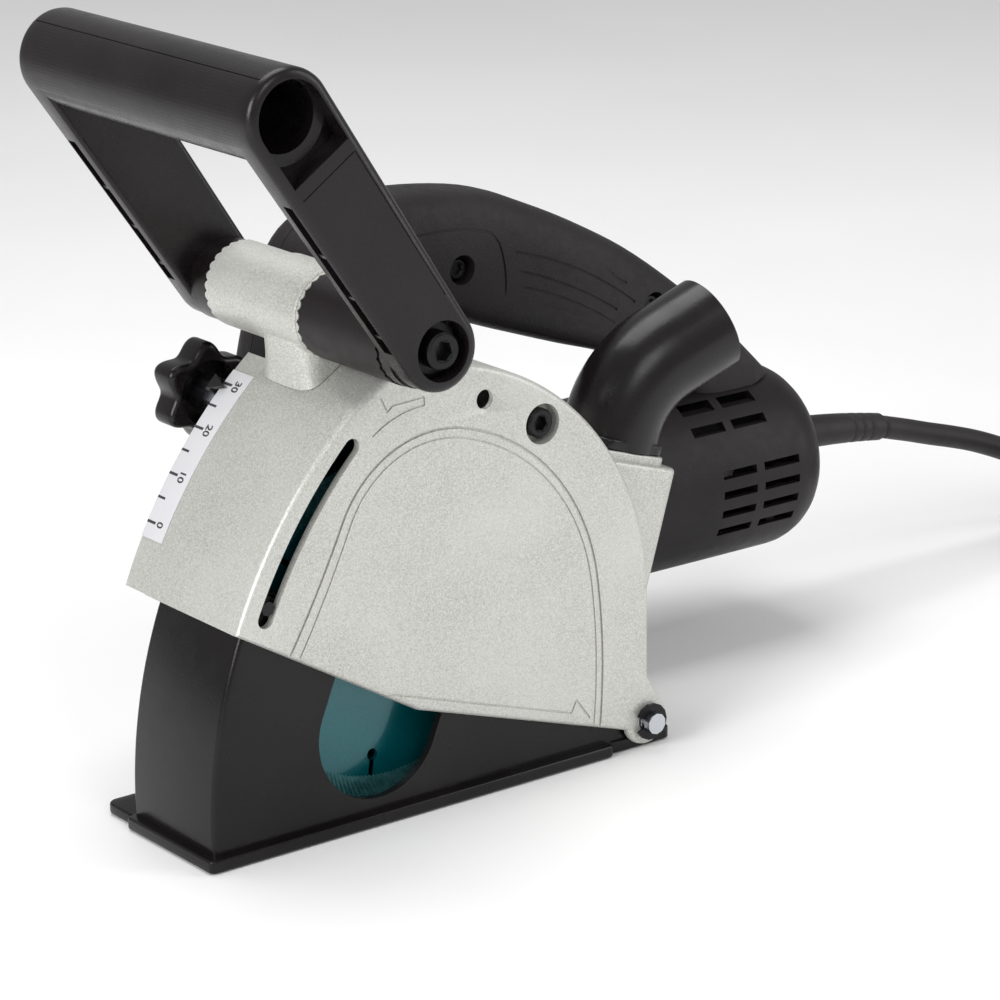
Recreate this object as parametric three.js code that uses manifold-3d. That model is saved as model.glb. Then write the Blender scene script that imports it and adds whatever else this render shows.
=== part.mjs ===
// A wall chaser: a plunging twin-blade wall saw with a D-handle motor head, a blade guard that
// rides down over a slotted base, a tilting front grip and a depth stop. Millimetres, +Z up,
// +X to the rear (motor end), -Y the open cover side, the sole resting on z = 0.
import * as THREE from "three";
import { mergeVertices } from "three/addons/utils/BufferGeometryUtils.js";
import Module from "manifold-3d";

const wasm = await Module();
wasm.setup();

// ---- driving dimensions ----
const GAP = 0.3; // between touching pieces
const PIVOT_Z = 11; // plunge pivot, on x = 0
const PIN_RADIUS = 4;
const BLADE_RADIUS = 62.5;
const SPINDLE_X = -105;
const SPINDLE_Z = 66;
const MOTOR_Y = 65; // motor axis, parallel to X, at the spindle's height
const GUARD_RIGHT = -32.3;
const GUARD_SPLIT = 25.7; // where the deep cover meets the left plate
const GUARD_LEFT = 29;
const WALL = 3;
const FRONT_RADIUS = 192.3; // guard front, about the pivot
const BASE_RADIUS = 187.6; // base front wall, about the pivot
const TOP_ARC = { x: -102.5, z: 60, radius: 103 }; // guard top
const SLOT_RADIUS = 183.2; // guide slot, about the pivot
const STOP_RADIUS = 180.5; // depth stop, about the pivot
const STOP_ANGLE = 45.2; // where the stop is clamped, above -X
const GRIP_AXIS = { x: -117, z: 179.2 }; // tilt axis of the front grip
const GRIP_BAR = { x: -174.7, z: 265, radius: 16.4 };
const GRIP_SIDE = { right: -68, left: 73.5 }; // outer faces of the arms
const TUBE = { right: -6.3, ringLeft: 25, left: 51.5 };
const ARM_THICKNESS = 12;
const TUBE_RADIUS = 15.6;
const HANDLE_HALF_WIDTH = 17;
const LEAN = THREE.MathUtils.degToRad(17.2); // the head leans back this far when it is up
const DUCT = { along: -30.5, y: -5, top: 103 }; // dust duct, in the leaning frame
const NOZZLE = { radius: 18, bore: 15.4, pitch: 22, yaw: -6, reach: 41.5, corner: 130.6 };
const CORD_RADIUS = 4.8;
const COIL = { x: 365, y: -5, inner: 33.3, outer: 75, height: 19.8 };
const PLUG = { x: 352.5, y: 47.6, z: 32.1, bearing: 14 }; // where the cord enters it, pins forward
const GEAR_TEETH = 24;
const PINION_TEETH = 8;
const GEAR_PITCH_RADIUS = 20;

// ---- solids ----
const radians = THREE.MathUtils.degToRad;

function toSolid(geometry) {
  const bare = geometry.clone();
  bare.deleteAttribute("normal");
  bare.deleteAttribute("uv");
  const merged = mergeVertices(bare, 1e-4);
  const corners = [];
  const index = merged.index.array;
  for (let i = 0; i < index.length; i += 3) {
    const [a, b, c] = [index[i], index[i + 1], index[i + 2]];
    if (a !== b && b !== c && c !== a) corners.push(a, b, c);
  }
  const build = (triangles) =>
    new wasm.Manifold(
      new wasm.Mesh({
        numProp: 3,
        vertProperties: merged.attributes.position.array,
        triVerts: Uint32Array.from(triangles),
      }),
    );
  const solid = build(corners);
  if (solid.volume() > 0) return solid;
  const turned = [];
  for (let i = 0; i < corners.length; i += 3) turned.push(corners[i], corners[i + 2], corners[i + 1]);
  return build(turned);
}

function toGeometry(solid) {
  const mesh = solid.getMesh();
  const geometry = new THREE.BufferGeometry();
  geometry.setAttribute("position", new THREE.BufferAttribute(Float32Array.from(mesh.vertProperties), 3));
  geometry.setIndex(Array.from(mesh.triVerts));
  return geometry;
}

const join = (...solids) => solids.reduce((whole, solid) => whole.add(solid));
const cut = (solid, ...tools) => tools.reduce((rest, tool) => rest.subtract(tool), solid);

function box(low, high, matrix) {
  const size = high.map((value, i) => value - low[i]);
  const geometry = new THREE.BoxGeometry(...size);
  geometry.translate(...high.map((value, i) => (value + low[i]) / 2));
  if (matrix) geometry.applyMatrix4(matrix);
  return toSolid(geometry);
}

// Flats around a round piece: enough to look round, few enough to stay light.
const facets = (radius) => Math.max(8, 2 * Math.round(2.25 * Math.sqrt(radius)));

// A straight rod or cone between two points.
function rod(from, to, radius, endRadius = radius, segments = facets(Math.max(radius, endRadius))) {
  const [start, end] = [new THREE.Vector3(...from), new THREE.Vector3(...to)];
  const along = end.clone().sub(start);
  const geometry = new THREE.CylinderGeometry(endRadius, radius, along.length(), segments);
  const turn = new THREE.Quaternion().setFromUnitVectors(new THREE.Vector3(0, 1, 0), along.clone().normalize());
  geometry.applyQuaternion(turn);
  geometry.translate(...start.add(end).multiplyScalar(0.5).toArray());
  return toSolid(geometry);
}

const rodY = (x, z, radius, low, high) => rod([x, low, z], [x, high, z], radius);
const rodX = (y, z, radius, low, high, end = radius) => rod([low, y, z], [high, y, z], radius, end);
const tubeY = (x, z, outer, inner, low, high) =>
  cut(rodY(x, z, outer, low, high), rodY(x, z, inner, low - 1, high + 1));
const tubeX = (y, z, outer, inner, low, high) =>
  cut(rodX(y, z, outer, low, high), rodX(y, z, inner, low - 1, high + 1));

// A profile of [radius, distance along X] revolved about the line through (y, z).
function turnedX(profile, y, z) {
  const points = profile.map(([radius, along]) => new THREE.Vector2(radius, along));
  const geometry = new THREE.LatheGeometry(points, facets(Math.max(...profile.map(([radius]) => radius))));
  geometry.rotateZ(-Math.PI / 2);
  geometry.translate(0, y, z);
  return toSolid(geometry);
}

// A profile of [radius, distance along Y] revolved about the line through (x, z).
function turnedY(profile, x, z) {
  const points = profile.map(([radius, along]) => new THREE.Vector2(radius, along));
  const geometry = new THREE.LatheGeometry(points, facets(Math.max(...profile.map(([radius]) => radius))));
  geometry.translate(x, 0, z);
  return toSolid(geometry);
}

// An outline of [x, z] points made into a plate between two y values.
function plate(outline, low, high, round = 0, segments = 3) {
  const shape = new THREE.Shape(outline.map(([x, z]) => new THREE.Vector2(x, z)));
  const geometry = new THREE.ExtrudeGeometry(shape, {
    depth: high - low - 2 * round,
    bevelEnabled: round > 0,
    bevelSize: round,
    bevelThickness: round,
    bevelOffset: -round,
    bevelSegments: segments,
  });
  geometry.rotateX(Math.PI / 2);
  geometry.translate(0, high - round, 0);
  return toSolid(geometry);
}

// A tube or bar along a curve; hole > 0 leaves it open at both ends.
function sweep(curve, steps, radius, segments, hole = 0) {
  const circle = (r) =>
    Array.from({ length: segments }, (_, i) => {
      const angle = (2 * Math.PI * i) / segments;
      return new THREE.Vector2(r * Math.cos(angle), r * Math.sin(angle));
    });
  const shape = new THREE.Shape(circle(radius));
  if (hole) shape.holes.push(new THREE.Path(circle(hole)));
  return toSolid(new THREE.ExtrudeGeometry(shape, { steps, extrudePath: curve, bevelEnabled: false }));
}

// Rings of matching point counts, joined into one closed ring-shaped body.
function loft(rings) {
  const count = rings[0].length;
  const positions = rings.flat().flatMap((point) => point.toArray());
  const index = [];
  rings.forEach((_, i) => {
    const next = (i + 1) % rings.length;
    for (let j = 0; j < count; j += 1) {
      const [a, b] = [i * count + j, i * count + ((j + 1) % count)];
      const [c, d] = [next * count + j, next * count + ((j + 1) % count)];
      index.push(a, b, d, a, d, c);
    }
  });
  const geometry = new THREE.BufferGeometry();
  geometry.setAttribute("position", new THREE.Float32BufferAttribute(positions, 3));
  geometry.setIndex(index);
  return geometry;
}

// Points of an arc in the XZ plane; angles in degrees, counter-clockwise from +X.
function arc(x, z, radius, from, to, steps) {
  return Array.from({ length: steps + 1 }, (_, i) => {
    const angle = radians(from + ((to - from) * i) / steps);
    return [x + radius * Math.cos(angle), z + radius * Math.sin(angle)];
  });
}

// A point at a height angle above -X, about the plunge pivot.
const aboutPivot = (radius, angle) => [
  -radius * Math.cos(radians(angle)),
  PIVOT_Z + radius * Math.sin(radians(angle)),
];
const pivotArc = (radius, from, to, steps) => arc(0, PIVOT_Z, radius, 180 - from, 180 - to, steps);
const band = (outer, inner, from, to, steps) => [
  ...pivotArc(outer, from, to, steps),
  ...pivotArc(inner, to, from, steps),
];

// The frame that leans with the dust duct: local X to the rear, local Z up the duct.
const leaning = new THREE.Matrix4().makeRotationY(LEAN);
const ductPoint = (along, y, up) => new THREE.Vector3(along, y, up).applyMatrix4(leaning);

// ---- finishes ----
const finish = (color, roughness, metalness) => () =>
  new THREE.MeshStandardMaterial({ color, roughness, metalness });
const silverPaint = finish(0xcdcdc6, 0.5, 0.35);
const blackPlastic = finish(0x1d1a1a, 0.42, 0);
const softGrip = finish(0x262223, 0.75, 0);
const blackBase = finish(0x1b191a, 0.4, 0.1);
const blackSteel = finish(0x1a1a1b, 0.4, 0.8);
const zincSteel = finish(0xb6bcc2, 0.3, 0.9);
const bareSteel = finish(0x9a9da1, 0.3, 0.9);
const tealPaint = finish(0x0c6468, 0.25, 0.3);
const copper = finish(0xa8592b, 0.45, 0.8);
const whiteLabel = finish(0xe9e9ea, 0.5, 0);
const cordRubber = finish(0x2a2628, 0.6, 0);
const carbon = finish(0x232323, 0.8, 0);

const chaser = new THREE.Group();
function add(name, solid, material) {
  const mesh = new THREE.Mesh(toGeometry(solid), material());
  mesh.name = name;
  chaser.add(mesh);
  return mesh;
}

// ---- base ----
const BASE = { front: -191.3, right: -31.4, left: 23, skid: 41, rear: 14, sole: 4.5, lugClear: -15 };
const WINDOW = { x: -118, z: 34.5, radius: 25.4 };
const WALL_TOP_ANGLE = 27.5;
const GUIDE_ANGLE = 25.6;
const BASE_WALLS = [[-27.8, -24.8], [20, 23]];

function baseWall([low, high]) {
  const front = pivotArc(BASE_RADIUS, -2.7, WALL_TOP_ANGLE, 10);
  const ear = arc(0, PIVOT_Z, 9, 116, -90, 10);
  return plate([...front, ...ear], low, high);
}

// The opening that lets the spindle sink between the walls, on the line it travels.
function arborWindow() {
  const { x, z, radius } = WINDOW;
  const lean = Math.atan2(SPINDLE_Z - z, SPINDLE_X - x);
  const tilt = THREE.MathUtils.radToDeg(lean);
  const rise = [90 * Math.cos(lean), 90 * Math.sin(lean)];
  const bottom = arc(x, z, radius, tilt - 90, tilt - 270, 16);
  const top = [bottom.at(-1), bottom[0]].map(([px, pz]) => [px + rise[0], pz + rise[1]]);
  return plate([...bottom, ...top], BASE.right - 2, BASE.left + 2);
}

function baseFrame() {
  const frontWall = plate(band(BASE_RADIUS, BASE_RADIUS - WALL, -3.2, WALL_TOP_ANGLE, 10), -27.8, 23);
  const sole = join(
    box([BASE.front, BASE.right, 0], [BASE.lugClear, BASE.left, BASE.sole]),
    box([BASE.lugClear - 1, -28.7, 0], [BASE.rear, 25.4, BASE.sole]),
    box([BASE.front + 2.8, BASE.left - 1, 0], [BASE.lugClear, BASE.skid, BASE.sole - 0.4]),
  );
  const [guideX, guideZ] = aboutPivot(SLOT_RADIUS, GUIDE_ANGLE);
  return cut(
    join(sole, frontWall, ...BASE_WALLS.map(baseWall)),
    box([-300, -60, -20], [60, 60, 0]),
    arborWindow(),
    box([-182, -22, -5], [-42, 17.5, 6]),
    rodY(0, PIVOT_Z, PIN_RADIUS + GAP, -40, 40),
    rodY(guideX, guideZ, 2.3, -30, -20),
  );
}

function circlip(low) {
  const ring = [...arc(0, PIVOT_Z, 7, 205, 515, 12), ...arc(0, PIVOT_Z, PIN_RADIUS - 0.7 + GAP, 515, 205, 10)];
  return plate(ring, low, low + 1);
}

function pivotPin() {
  const groove = (low) => tubeY(0, PIVOT_Z, PIN_RADIUS + 2, PIN_RADIUS - 0.7, low - 0.2, low + 1.2);
  return cut(rodY(0, PIVOT_Z, PIN_RADIUS, -37.5, 33.5), groove(-34.6), groove(30.6));
}

class Coil extends THREE.Curve {
  constructor(radius, low, high, turns) {
    super();
    Object.assign(this, { radius, low, high, turns });
  }

  getPoint(t, target = new THREE.Vector3()) {
    const angle = 2 * Math.PI * this.turns * t;
    const y = this.low + (this.high - this.low) * t;
    return target.set(this.radius * Math.cos(angle), y, PIVOT_Z + this.radius * Math.sin(angle));
  }
}

add("base_frame", baseFrame(), blackBase);
add("pivot_pin", pivotPin(), zincSteel);
add("pivot_circlip_right", circlip(-34.6), blackSteel);
add("pivot_circlip_left", circlip(30.6), blackSteel);
add("return_spring", sweep(new Coil(5.4, -18, 14, 5), 40, 0.7, 5), bareSteel);

function guidePin() {
  const [x, z] = aboutPivot(SLOT_RADIUS, GUIDE_ANGLE);
  return join(rodY(x, z, 2, -28.5, -24.9), rodY(x, z, 2.6, -31.6, -28.1));
}
add("guide_pin", guidePin(), bareSteel);

// ---- guard ----
const CREASE_ANGLE = 47.5;
const LOWER_BEND = [-103.5, 39];
const LUG_RADIUS = 9.5;

function guardOutline(front = FRONT_RADIUS) {
  return [
    LOWER_BEND,
    ...pivotArc(front, 22, CREASE_ANGLE, 10),
    ...arc(TOP_ARC.x, TOP_ARC.z, TOP_ARC.radius, 96, 0, 16),
    [0.5, 28],
    ...arc(0, PIVOT_Z, LUG_RADIUS, 20, -166, 10),
  ];
}

function guardCavity() {
  const inner = FRONT_RADIUS - WALL;
  const outline = [
    ...pivotArc(inner, -20, CREASE_ANGLE, 18),
    ...arc(TOP_ARC.x, TOP_ARC.z, TOP_ARC.radius - WALL, 96, 0, 16),
    [0.5 - WALL, 24],
    [12, 24],
    [12, -20],
  ];
  return plate(outline, GUARD_RIGHT + WALL, GUARD_SPLIT + 1);
}

// The arc slot that the guide pin rides in.
function slotOutline(radius, half, from, to) {
  const [endX, endZ] = aboutPivot(radius, to);
  const [startX, startZ] = aboutPivot(radius, from);
  return [
    ...pivotArc(radius + half, from, to, 10),
    ...arc(endX, endZ, half, 180 - to, 0 - to, 5).slice(1, -1),
    ...pivotArc(radius - half, to, from, 10),
    ...arc(startX, startZ, half, 360 - from, 180 - from, 5).slice(1, -1),
  ];
}

const COVER_BOLT = { x: -48, z: 133.3 };
const SPARE_THREAD = { x: -72.9, z: 146.7 };

function ductOuter() {
  const { along, y, top } = DUCT;
  return join(
    box([along - 19.5, y - 21, 38], [along + 20, y + 21, top], leaning),
    box([along - 16, y - 17.5, top - 1], [along + 15.5, y + 17.5, top + 3], leaning),
  );
}

function guardCover() {
  const { along, y, top } = DUCT;
  const shell = cut(plate(guardOutline(), GUARD_RIGHT, GUARD_SPLIT), guardCavity());
  const duct = cut(ductOuter(), plate(guardOutline(), GUARD_RIGHT - 10, GUARD_SPLIT + 10));
  const boss = rodY(COVER_BOLT.x, COVER_BOLT.z, 9, GUARD_RIGHT + 1, -8);
  return cut(
    join(shell, duct, boss),
    box([along - 13, y - 14, 60], [along + 12.5, y + 14, top + 5], leaning),
    plate(slotOutline(SLOT_RADIUS, 3.1, 24.4, 44.9), GUARD_RIGHT - 5, GUARD_RIGHT + WALL + 2),
    rodY(COVER_BOLT.x, COVER_BOLT.z, 7.4, GUARD_RIGHT - 5, GUARD_RIGHT + 6),
    rodY(COVER_BOLT.x, COVER_BOLT.z, 3 + GAP, GUARD_RIGHT, 0),
    rodY(SPARE_THREAD.x, SPARE_THREAD.z, 3.6, GUARD_RIGHT - 5, GUARD_RIGHT + 6),
    rodY(0, PIVOT_Z, PIN_RADIUS + GAP, GUARD_RIGHT - 5, 60),
  );
}

const LABEL_FLANGE = { outer: 191, inner: 188.6, left: 40 };

function guardLeft() {
  const { outer, inner, left } = LABEL_FLANGE;
  const leftPlate = plate(guardOutline(outer), GUARD_SPLIT + GAP, GUARD_LEFT);
  const flange = plate(band(outer, inner, 22, 50, 10), GUARD_SPLIT + GAP, left);
  const boss = rodY(COVER_BOLT.x, COVER_BOLT.z, 8, -8 + GAP, GUARD_SPLIT + 1);
  return cut(
    join(leftPlate, flange, boss),
    rodY(SPINDLE_X, SPINDLE_Z, 20 + GAP, 20, 40),
    plate(slotOutline(STOP_RADIUS, 3.5, 28.2, 46.2), 20, 35),
    rodY(COVER_BOLT.x, COVER_BOLT.z, 3 + GAP, -20, 40),
    rodY(0, PIVOT_Z, PIN_RADIUS + GAP, 20, 60),
  );
}

function capScrewY(x, z, shank, head, seat, tip, headHeight, socket) {
  const sign = Math.sign(tip - seat);
  const [headLow, headHigh] = [seat - sign * headHeight, seat].sort((a, b) => a - b);
  const [shankLow, shankHigh] = [seat - sign * 0.5, tip].sort((a, b) => a - b);
  return cut(
    join(rodY(x, z, head, headLow, headHigh), rodY(x, z, shank, shankLow, shankHigh)),
    rod([x, seat - sign * (headHeight + 1), z], [x, seat - sign * headHeight * 0.35, z], socket, socket, 6),
  );
}

add("guard_cover", guardCover(), silverPaint);
add("guard_left", guardLeft(), silverPaint);
add("cover_bolt", capScrewY(COVER_BOLT.x, COVER_BOLT.z, 3, 5.4, GUARD_RIGHT + 6 - GAP, 20, 5, 2.9), blackSteel);
add(
  "scale_label",
  plate(band(LABEL_FLANGE.outer + GAP + 0.4, LABEL_FLANGE.outer + GAP, 27.5, 47.5, 10), 26.6, 39.4),
  whiteLabel,
);

// ---- tube that carries the front grip ----
function gripBase() {
  const { x, z } = GRIP_AXIS;
  const web = plate([[x - 17, 150], [x + 15, 150], [x + 9, z], [x - 14.5, z]], TUBE.right, 19);
  const ring = rodY(x, z, TUBE_RADIUS + 1.4, TUBE.right, TUBE.ringLeft);
  return cut(
    join(rodY(x, z, TUBE_RADIUS, TUBE.right, TUBE.left), ring, web),
    plate(raisedGuard(), GUARD_RIGHT - 20, GUARD_LEFT + 20),
    rodY(x, z, 4 + GAP, -20, 80),
  );
}

// The guard outline grown by the gap, to seat what stands on it.
function raisedGuard() {
  return [
    [-60, 60],
    ...pivotArc(FRONT_RADIUS + GAP, 22, CREASE_ANGLE, 10),
    ...arc(TOP_ARC.x, TOP_ARC.z, TOP_ARC.radius + GAP, 96, 0, 16),
  ];
}
add("grip_base", gripBase(), silverPaint);
add(
  "grip_spacer",
  tubeY(GRIP_AXIS.x, GRIP_AXIS.z, TUBE_RADIUS, 4 + GAP, -51.7, TUBE.right - GAP),
  blackPlastic,
);

// ---- front grip ----
const ARM_END_RADIUS = 14.5;
const RECESS = 8; // depth of the bolt recesses

function armOutline() {
  const [dx, dz] = [GRIP_BAR.x - GRIP_AXIS.x, GRIP_BAR.z - GRIP_AXIS.z];
  const along = THREE.MathUtils.radToDeg(Math.atan2(dz, dx));
  return [
    ...arc(GRIP_BAR.x, GRIP_BAR.z, GRIP_BAR.radius, along - 90, along + 90, 14),
    ...arc(GRIP_AXIS.x, GRIP_AXIS.z, ARM_END_RADIUS, along + 90, along + 270, 14),
  ];
}

function frontGrip() {
  const { x, z } = GRIP_AXIS;
  const { right, left } = GRIP_SIDE;
  const arms = join(
    plate(armOutline(), right, right + ARM_THICKNESS),
    plate(armOutline(), left - ARM_THICKNESS, left),
  );
  const bar = rodY(GRIP_BAR.x, GRIP_BAR.z, GRIP_BAR.radius, right + 1, left - 1);
  const bosses = join(
    rodY(x, z, 15, TUBE.left + GAP, left - ARM_THICKNESS + 1),
    rodY(x, z, 15, right + ARM_THICKNESS - 1, -51.7 - GAP),
  );
  return cut(
    join(arms, bar, bosses),
    rodY(GRIP_BAR.x, GRIP_BAR.z, 12.4, -90, 90),
    rodY(x, z, 4 + GAP, -90, 90),
    rodY(x, z, 10.3, left - RECESS, 90),
    rodY(x, z, 10.3, -90, right + RECESS),
  );
}

add("front_grip", frontGrip(), blackPlastic);
for (const [side, name] of [[-1, "right"], [1, "left"]]) {
  const floor = GRIP_SIDE[name] - side * RECESS;
  const seat = floor + side * (1.8 + 2 * GAP);
  const [low, high] = [floor + side * GAP, floor + side * (GAP + 1.8)].sort((a, b) => a - b);
  const { x, z } = GRIP_AXIS;
  add(`grip_washer_${name}`, tubeY(x, z, 9, 4 + GAP, low, high), blackSteel);
  add(`grip_bolt_${name}`, capScrewY(x, z, 4, 6.5, seat, side < 0 ? 8 : 22, 6, 3.6), blackSteel);
}

// ---- gear housing ----
const HOUSING_LEFT = 91;

function housingSolid(grow) {
  const neck = HOUSING_LEFT - 4;
  return join(
    rodY(SPINDLE_X, SPINDLE_Z, 27 + grow, GUARD_LEFT + GAP, neck),
    rod([SPINDLE_X, neck - 0.01, SPINDLE_Z], [SPINDLE_X, HOUSING_LEFT, SPINDLE_Z], 27, 22),
    rodX(MOTOR_Y, SPINDLE_Z, 26.5 + grow, SPINDLE_X, -56, 34 + grow),
    rodX(MOTOR_Y, SPINDLE_Z, 35.3 + grow, -57, -48.3),
  );
}

function gearHousing() {
  const shell = housingSolid(0);
  const hollow = join(
    rodY(SPINDLE_X, SPINDLE_Z, 23.6, 33, HOUSING_LEFT - 4),
    rodX(MOTOR_Y, SPINDLE_Z, 23, SPINDLE_X, -56, 31),
    rodX(MOTOR_Y, SPINDLE_Z, 31.6, -57, -40),
  );
  const seats = join(
    tubeY(SPINDLE_X, SPINDLE_Z, 19, 16, 32, 43),
    tubeY(SPINDLE_X, SPINDLE_Z, 14, 11.3, 78, HOUSING_LEFT - 3),
  );
  return cut(
    join(cut(shell, hollow), seats),
    rodY(SPINDLE_X, SPINDLE_Z, 9, 20, 40),
    rodX(MOTOR_Y + 10, SPINDLE_Z, 5 + GAP, -140, -118),
  );
}

add("gear_housing", gearHousing(), silverPaint);
add("bearing_retainer", tubeY(SPINDLE_X, SPINDLE_Z, 20, 9, 24, GUARD_LEFT), bareSteel);
add("spindle_bearing_front", tubeY(SPINDLE_X, SPINDLE_Z, 15.7, 7.8, 33.3, 42.3), bareSteel);
add("spindle_bearing_rear", tubeY(SPINDLE_X, SPINDLE_Z, 11, 5.3, 78.3, 85.3), bareSteel);
add(
  "bearing_plate",
  tubeX(MOTOR_Y, SPINDLE_Z, 31.2, 13.3, -56.7, -51.2),
  silverPaint,
);
add("rotor_bearing_front", tubeX(MOTOR_Y, SPINDLE_Z, 13, 5.1, -58.5, -51.5), bareSteel);
add("rotor_bearing_rear", tubeX(MOTOR_Y, SPINDLE_Z, 10, 5.1, 117, 124), bareSteel);
add("shaft_lock_button", rodX(MOTOR_Y + 10, SPINDLE_Z, 5, -137, -127.6), blackPlastic);

// ---- motor housing ----
const MOTOR_PROFILE = [
  [34.5, -48], [34.5, 5], [36.5, 40], [37.5, 105], [37.5, 131], [35.8, 138], [32, 143.5], [25.5, 146.8],
];

function motorSolid(inset) {
  const outer = MOTOR_PROFILE.map(([radius, along], i) => {
    const end = i === MOTOR_PROFILE.length - 1 ? inset : 0;
    return [radius - inset, along - end];
  });
  const [firstRadius, firstAlong] = outer[0];
  const profile = [[0, firstAlong - (inset > 0 ? 5 : 0)], [firstRadius, firstAlong - (inset > 0 ? 5 : 0)]];
  return turnedX([...profile, ...outer.slice(1), [0, outer.at(-1)[1]]], MOTOR_Y, SPINDLE_Z);
}

function motorVents() {
  const slot = (x, z, length, low, high) => box([x, low, z - 1.6], [x + length, high, z + 1.6]);
  const lower = [49, 57, 65, 73].flatMap((z) => [slot(88, z, 17, 20, 36), slot(109, z, 18, 20, 36)]);
  const upper = [90, 97].flatMap((z) => [slot(79, z, 16, 30, 52), slot(99, z, 17, 30, 52)]);
  const left = [49, 57, 65, 73].flatMap((z) => [slot(88, z, 17, 94, 110), slot(109, z, 18, 94, 110)]);
  return join(...lower, ...upper, ...left);
}

const CORD_EXIT = { z: 69, inside: 144.2, end: 204, fall: 6 };

function motorHousing() {
  const bulkhead = cut(
    rodX(MOTOR_Y, SPINDLE_Z, 36, 117, 121),
    rodX(MOTOR_Y, SPINDLE_Z, 10 + GAP, 110, 130),
    box([110, MOTOR_Y - 12, SPINDLE_Z - 33], [130, MOTOR_Y + 12, SPINDLE_Z - 18]),
  );
  return cut(
    join(cut(motorSolid(0), motorSolid(2.8)), bulkhead),
    motorVents(),
    rodX(MOTOR_Y, CORD_EXIT.z, 8, 130, 190),
  );
}
add("motor_housing", motorHousing(), blackPlastic);

// ---- D-handle ----
// Pairs of outline points, outer edge then inner edge, from the front leg up and over to the rear.
const HANDLE_SECTIONS = [
  [-107, 90, -62, 90], [-108, 108, -62, 108], [-108.5, 124, -62, 124], [-106, 146, -61, 138],
  [-98, 172, -58, 148], [-86, 191, -51, 153], [-66, 199, -42, 154.5], [-40, 200, -28, 151.5],
  [-7, 195.5, -8, 143.5], [17, 186.5, 10, 137], [42, 174.5, 30, 130], [67, 160, 50, 123.5],
  [96, 138, 72, 115], [117, 119, 86, 106], [133, 103.5, 92, 92],
];
const TRIGGER = { rear: -13, front: -52, hinge: [-15, 154] };

function handleSolid(inset) {
  const edge = (i) => {
    const curve = new THREE.SplineCurve(HANDLE_SECTIONS.map((row) => new THREE.Vector2(row[i], row[i + 1])));
    return curve.getPoints(18);
  };
  const [outer, inner] = [edge(0), edge(2)];
  const last = outer.length - 1;
  const rings = outer.map((top, i) => {
    const middle = top.clone().add(inner[i]).multiplyScalar(0.5);
    const reach = top.clone().sub(inner[i]).multiplyScalar(0.5);
    reach.setLength(reach.length() - inset);
    return Array.from({ length: 16 }, (_, j) => {
      const angle = (2 * Math.PI * j) / 16;
      const [across, up] = [Math.cos(angle), Math.sin(angle)].map((v) => Math.sign(v) * Math.abs(v) ** 0.62);
      const y = MOTOR_Y + (HANDLE_HALF_WIDTH - inset) * across;
      return new THREE.Vector3(middle.x + reach.x * up, y, middle.y + reach.y * up);
    });
  });
  const middleOf = (ring) => {
    const centre = ring.reduce((sum, point) => sum.add(point), new THREE.Vector3()).divideScalar(ring.length);
    return ring.map(() => centre);
  };
  return toSolid(loft([middleOf(rings[0]), ...rings, middleOf(rings[last])]));
}

const HANDLE_SCREWS = [[-22, 169], [70, 140], [-84, 128]];

function handleShell(side) {
  const keep = side < 0 ? [MOTOR_Y - 40, MOTOR_Y - GAP / 2] : [MOTOR_Y + GAP / 2, MOTOR_Y + 40];
  const [triggerLow, triggerHigh] = [MOTOR_Y - 7, MOTOR_Y + 7];
  const shell = cut(
    handleSolid(0),
    handleSolid(2.6),
    motorSolid(-GAP),
    housingSolid(GAP),
    box([TRIGGER.front - 1.4, triggerLow, 130], [TRIGGER.rear + 3.4, triggerHigh, 162]),
  );
  const half = shell.intersect(box([-300, keep[0], 0], [300, keep[1], 300]));
  const posts = HANDLE_SCREWS.map(([x, z]) => {
    const [low, high] = side < 0 ? [MOTOR_Y - 15, keep[1]] : [keep[0], MOTOR_Y + 15];
    return rodY(x, z, 5.6, low, high);
  });
  const holes = HANDLE_SCREWS.flatMap(([x, z]) => [
    rodY(x, z, 2 + GAP, MOTOR_Y - 30, MOTOR_Y + 11),
    rodY(x, z, 4, MOTOR_Y - 30, MOTOR_Y - 11),
  ]);
  const lockHole = side > 0 ? [rodY(-70, 172, 4 + GAP, MOTOR_Y + 5, MOTOR_Y + 30)] : [];
  return cut(join(half, ...posts), ...holes, ...lockHole);
}

add("handle_shell_right", handleShell(-1), softGrip);
add("handle_shell_left", handleShell(1), softGrip);
HANDLE_SCREWS.forEach(([x, z], i) => {
  const screw = join(rodY(x, z, 3.6, MOTOR_Y - 13.5, MOTOR_Y - 11 - GAP), rodY(x, z, 2, MOTOR_Y - 12, MOTOR_Y + 10));
  add(`handle_screw_${i + 1}`, screw, blackSteel);
});
add("lock_on_button", rodY(-70, 172, 4, MOTOR_Y + 9, MOTOR_Y + 20), blackPlastic);

function trigger() {
  const { front, rear, hinge } = TRIGGER;
  const outline = [
    ...arc(hinge[0], hinge[1], 3.5, -60, 90, 5),
    [front + 3, 160.5],
    [front, 157],
    [front, 149],
    [front + 6, 143.5],
    [front + 14, 141.5],
    [front + 24, 142.5],
    [rear - 7, 143],
  ];
  return plate(outline, MOTOR_Y - 6.4, MOTOR_Y + 6.4);
}
add("trigger", trigger(), blackPlastic);
add("switch_body", box([-54, MOTOR_Y - 11, 167], [-31, MOTOR_Y + 11, 186]), blackPlastic);

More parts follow.
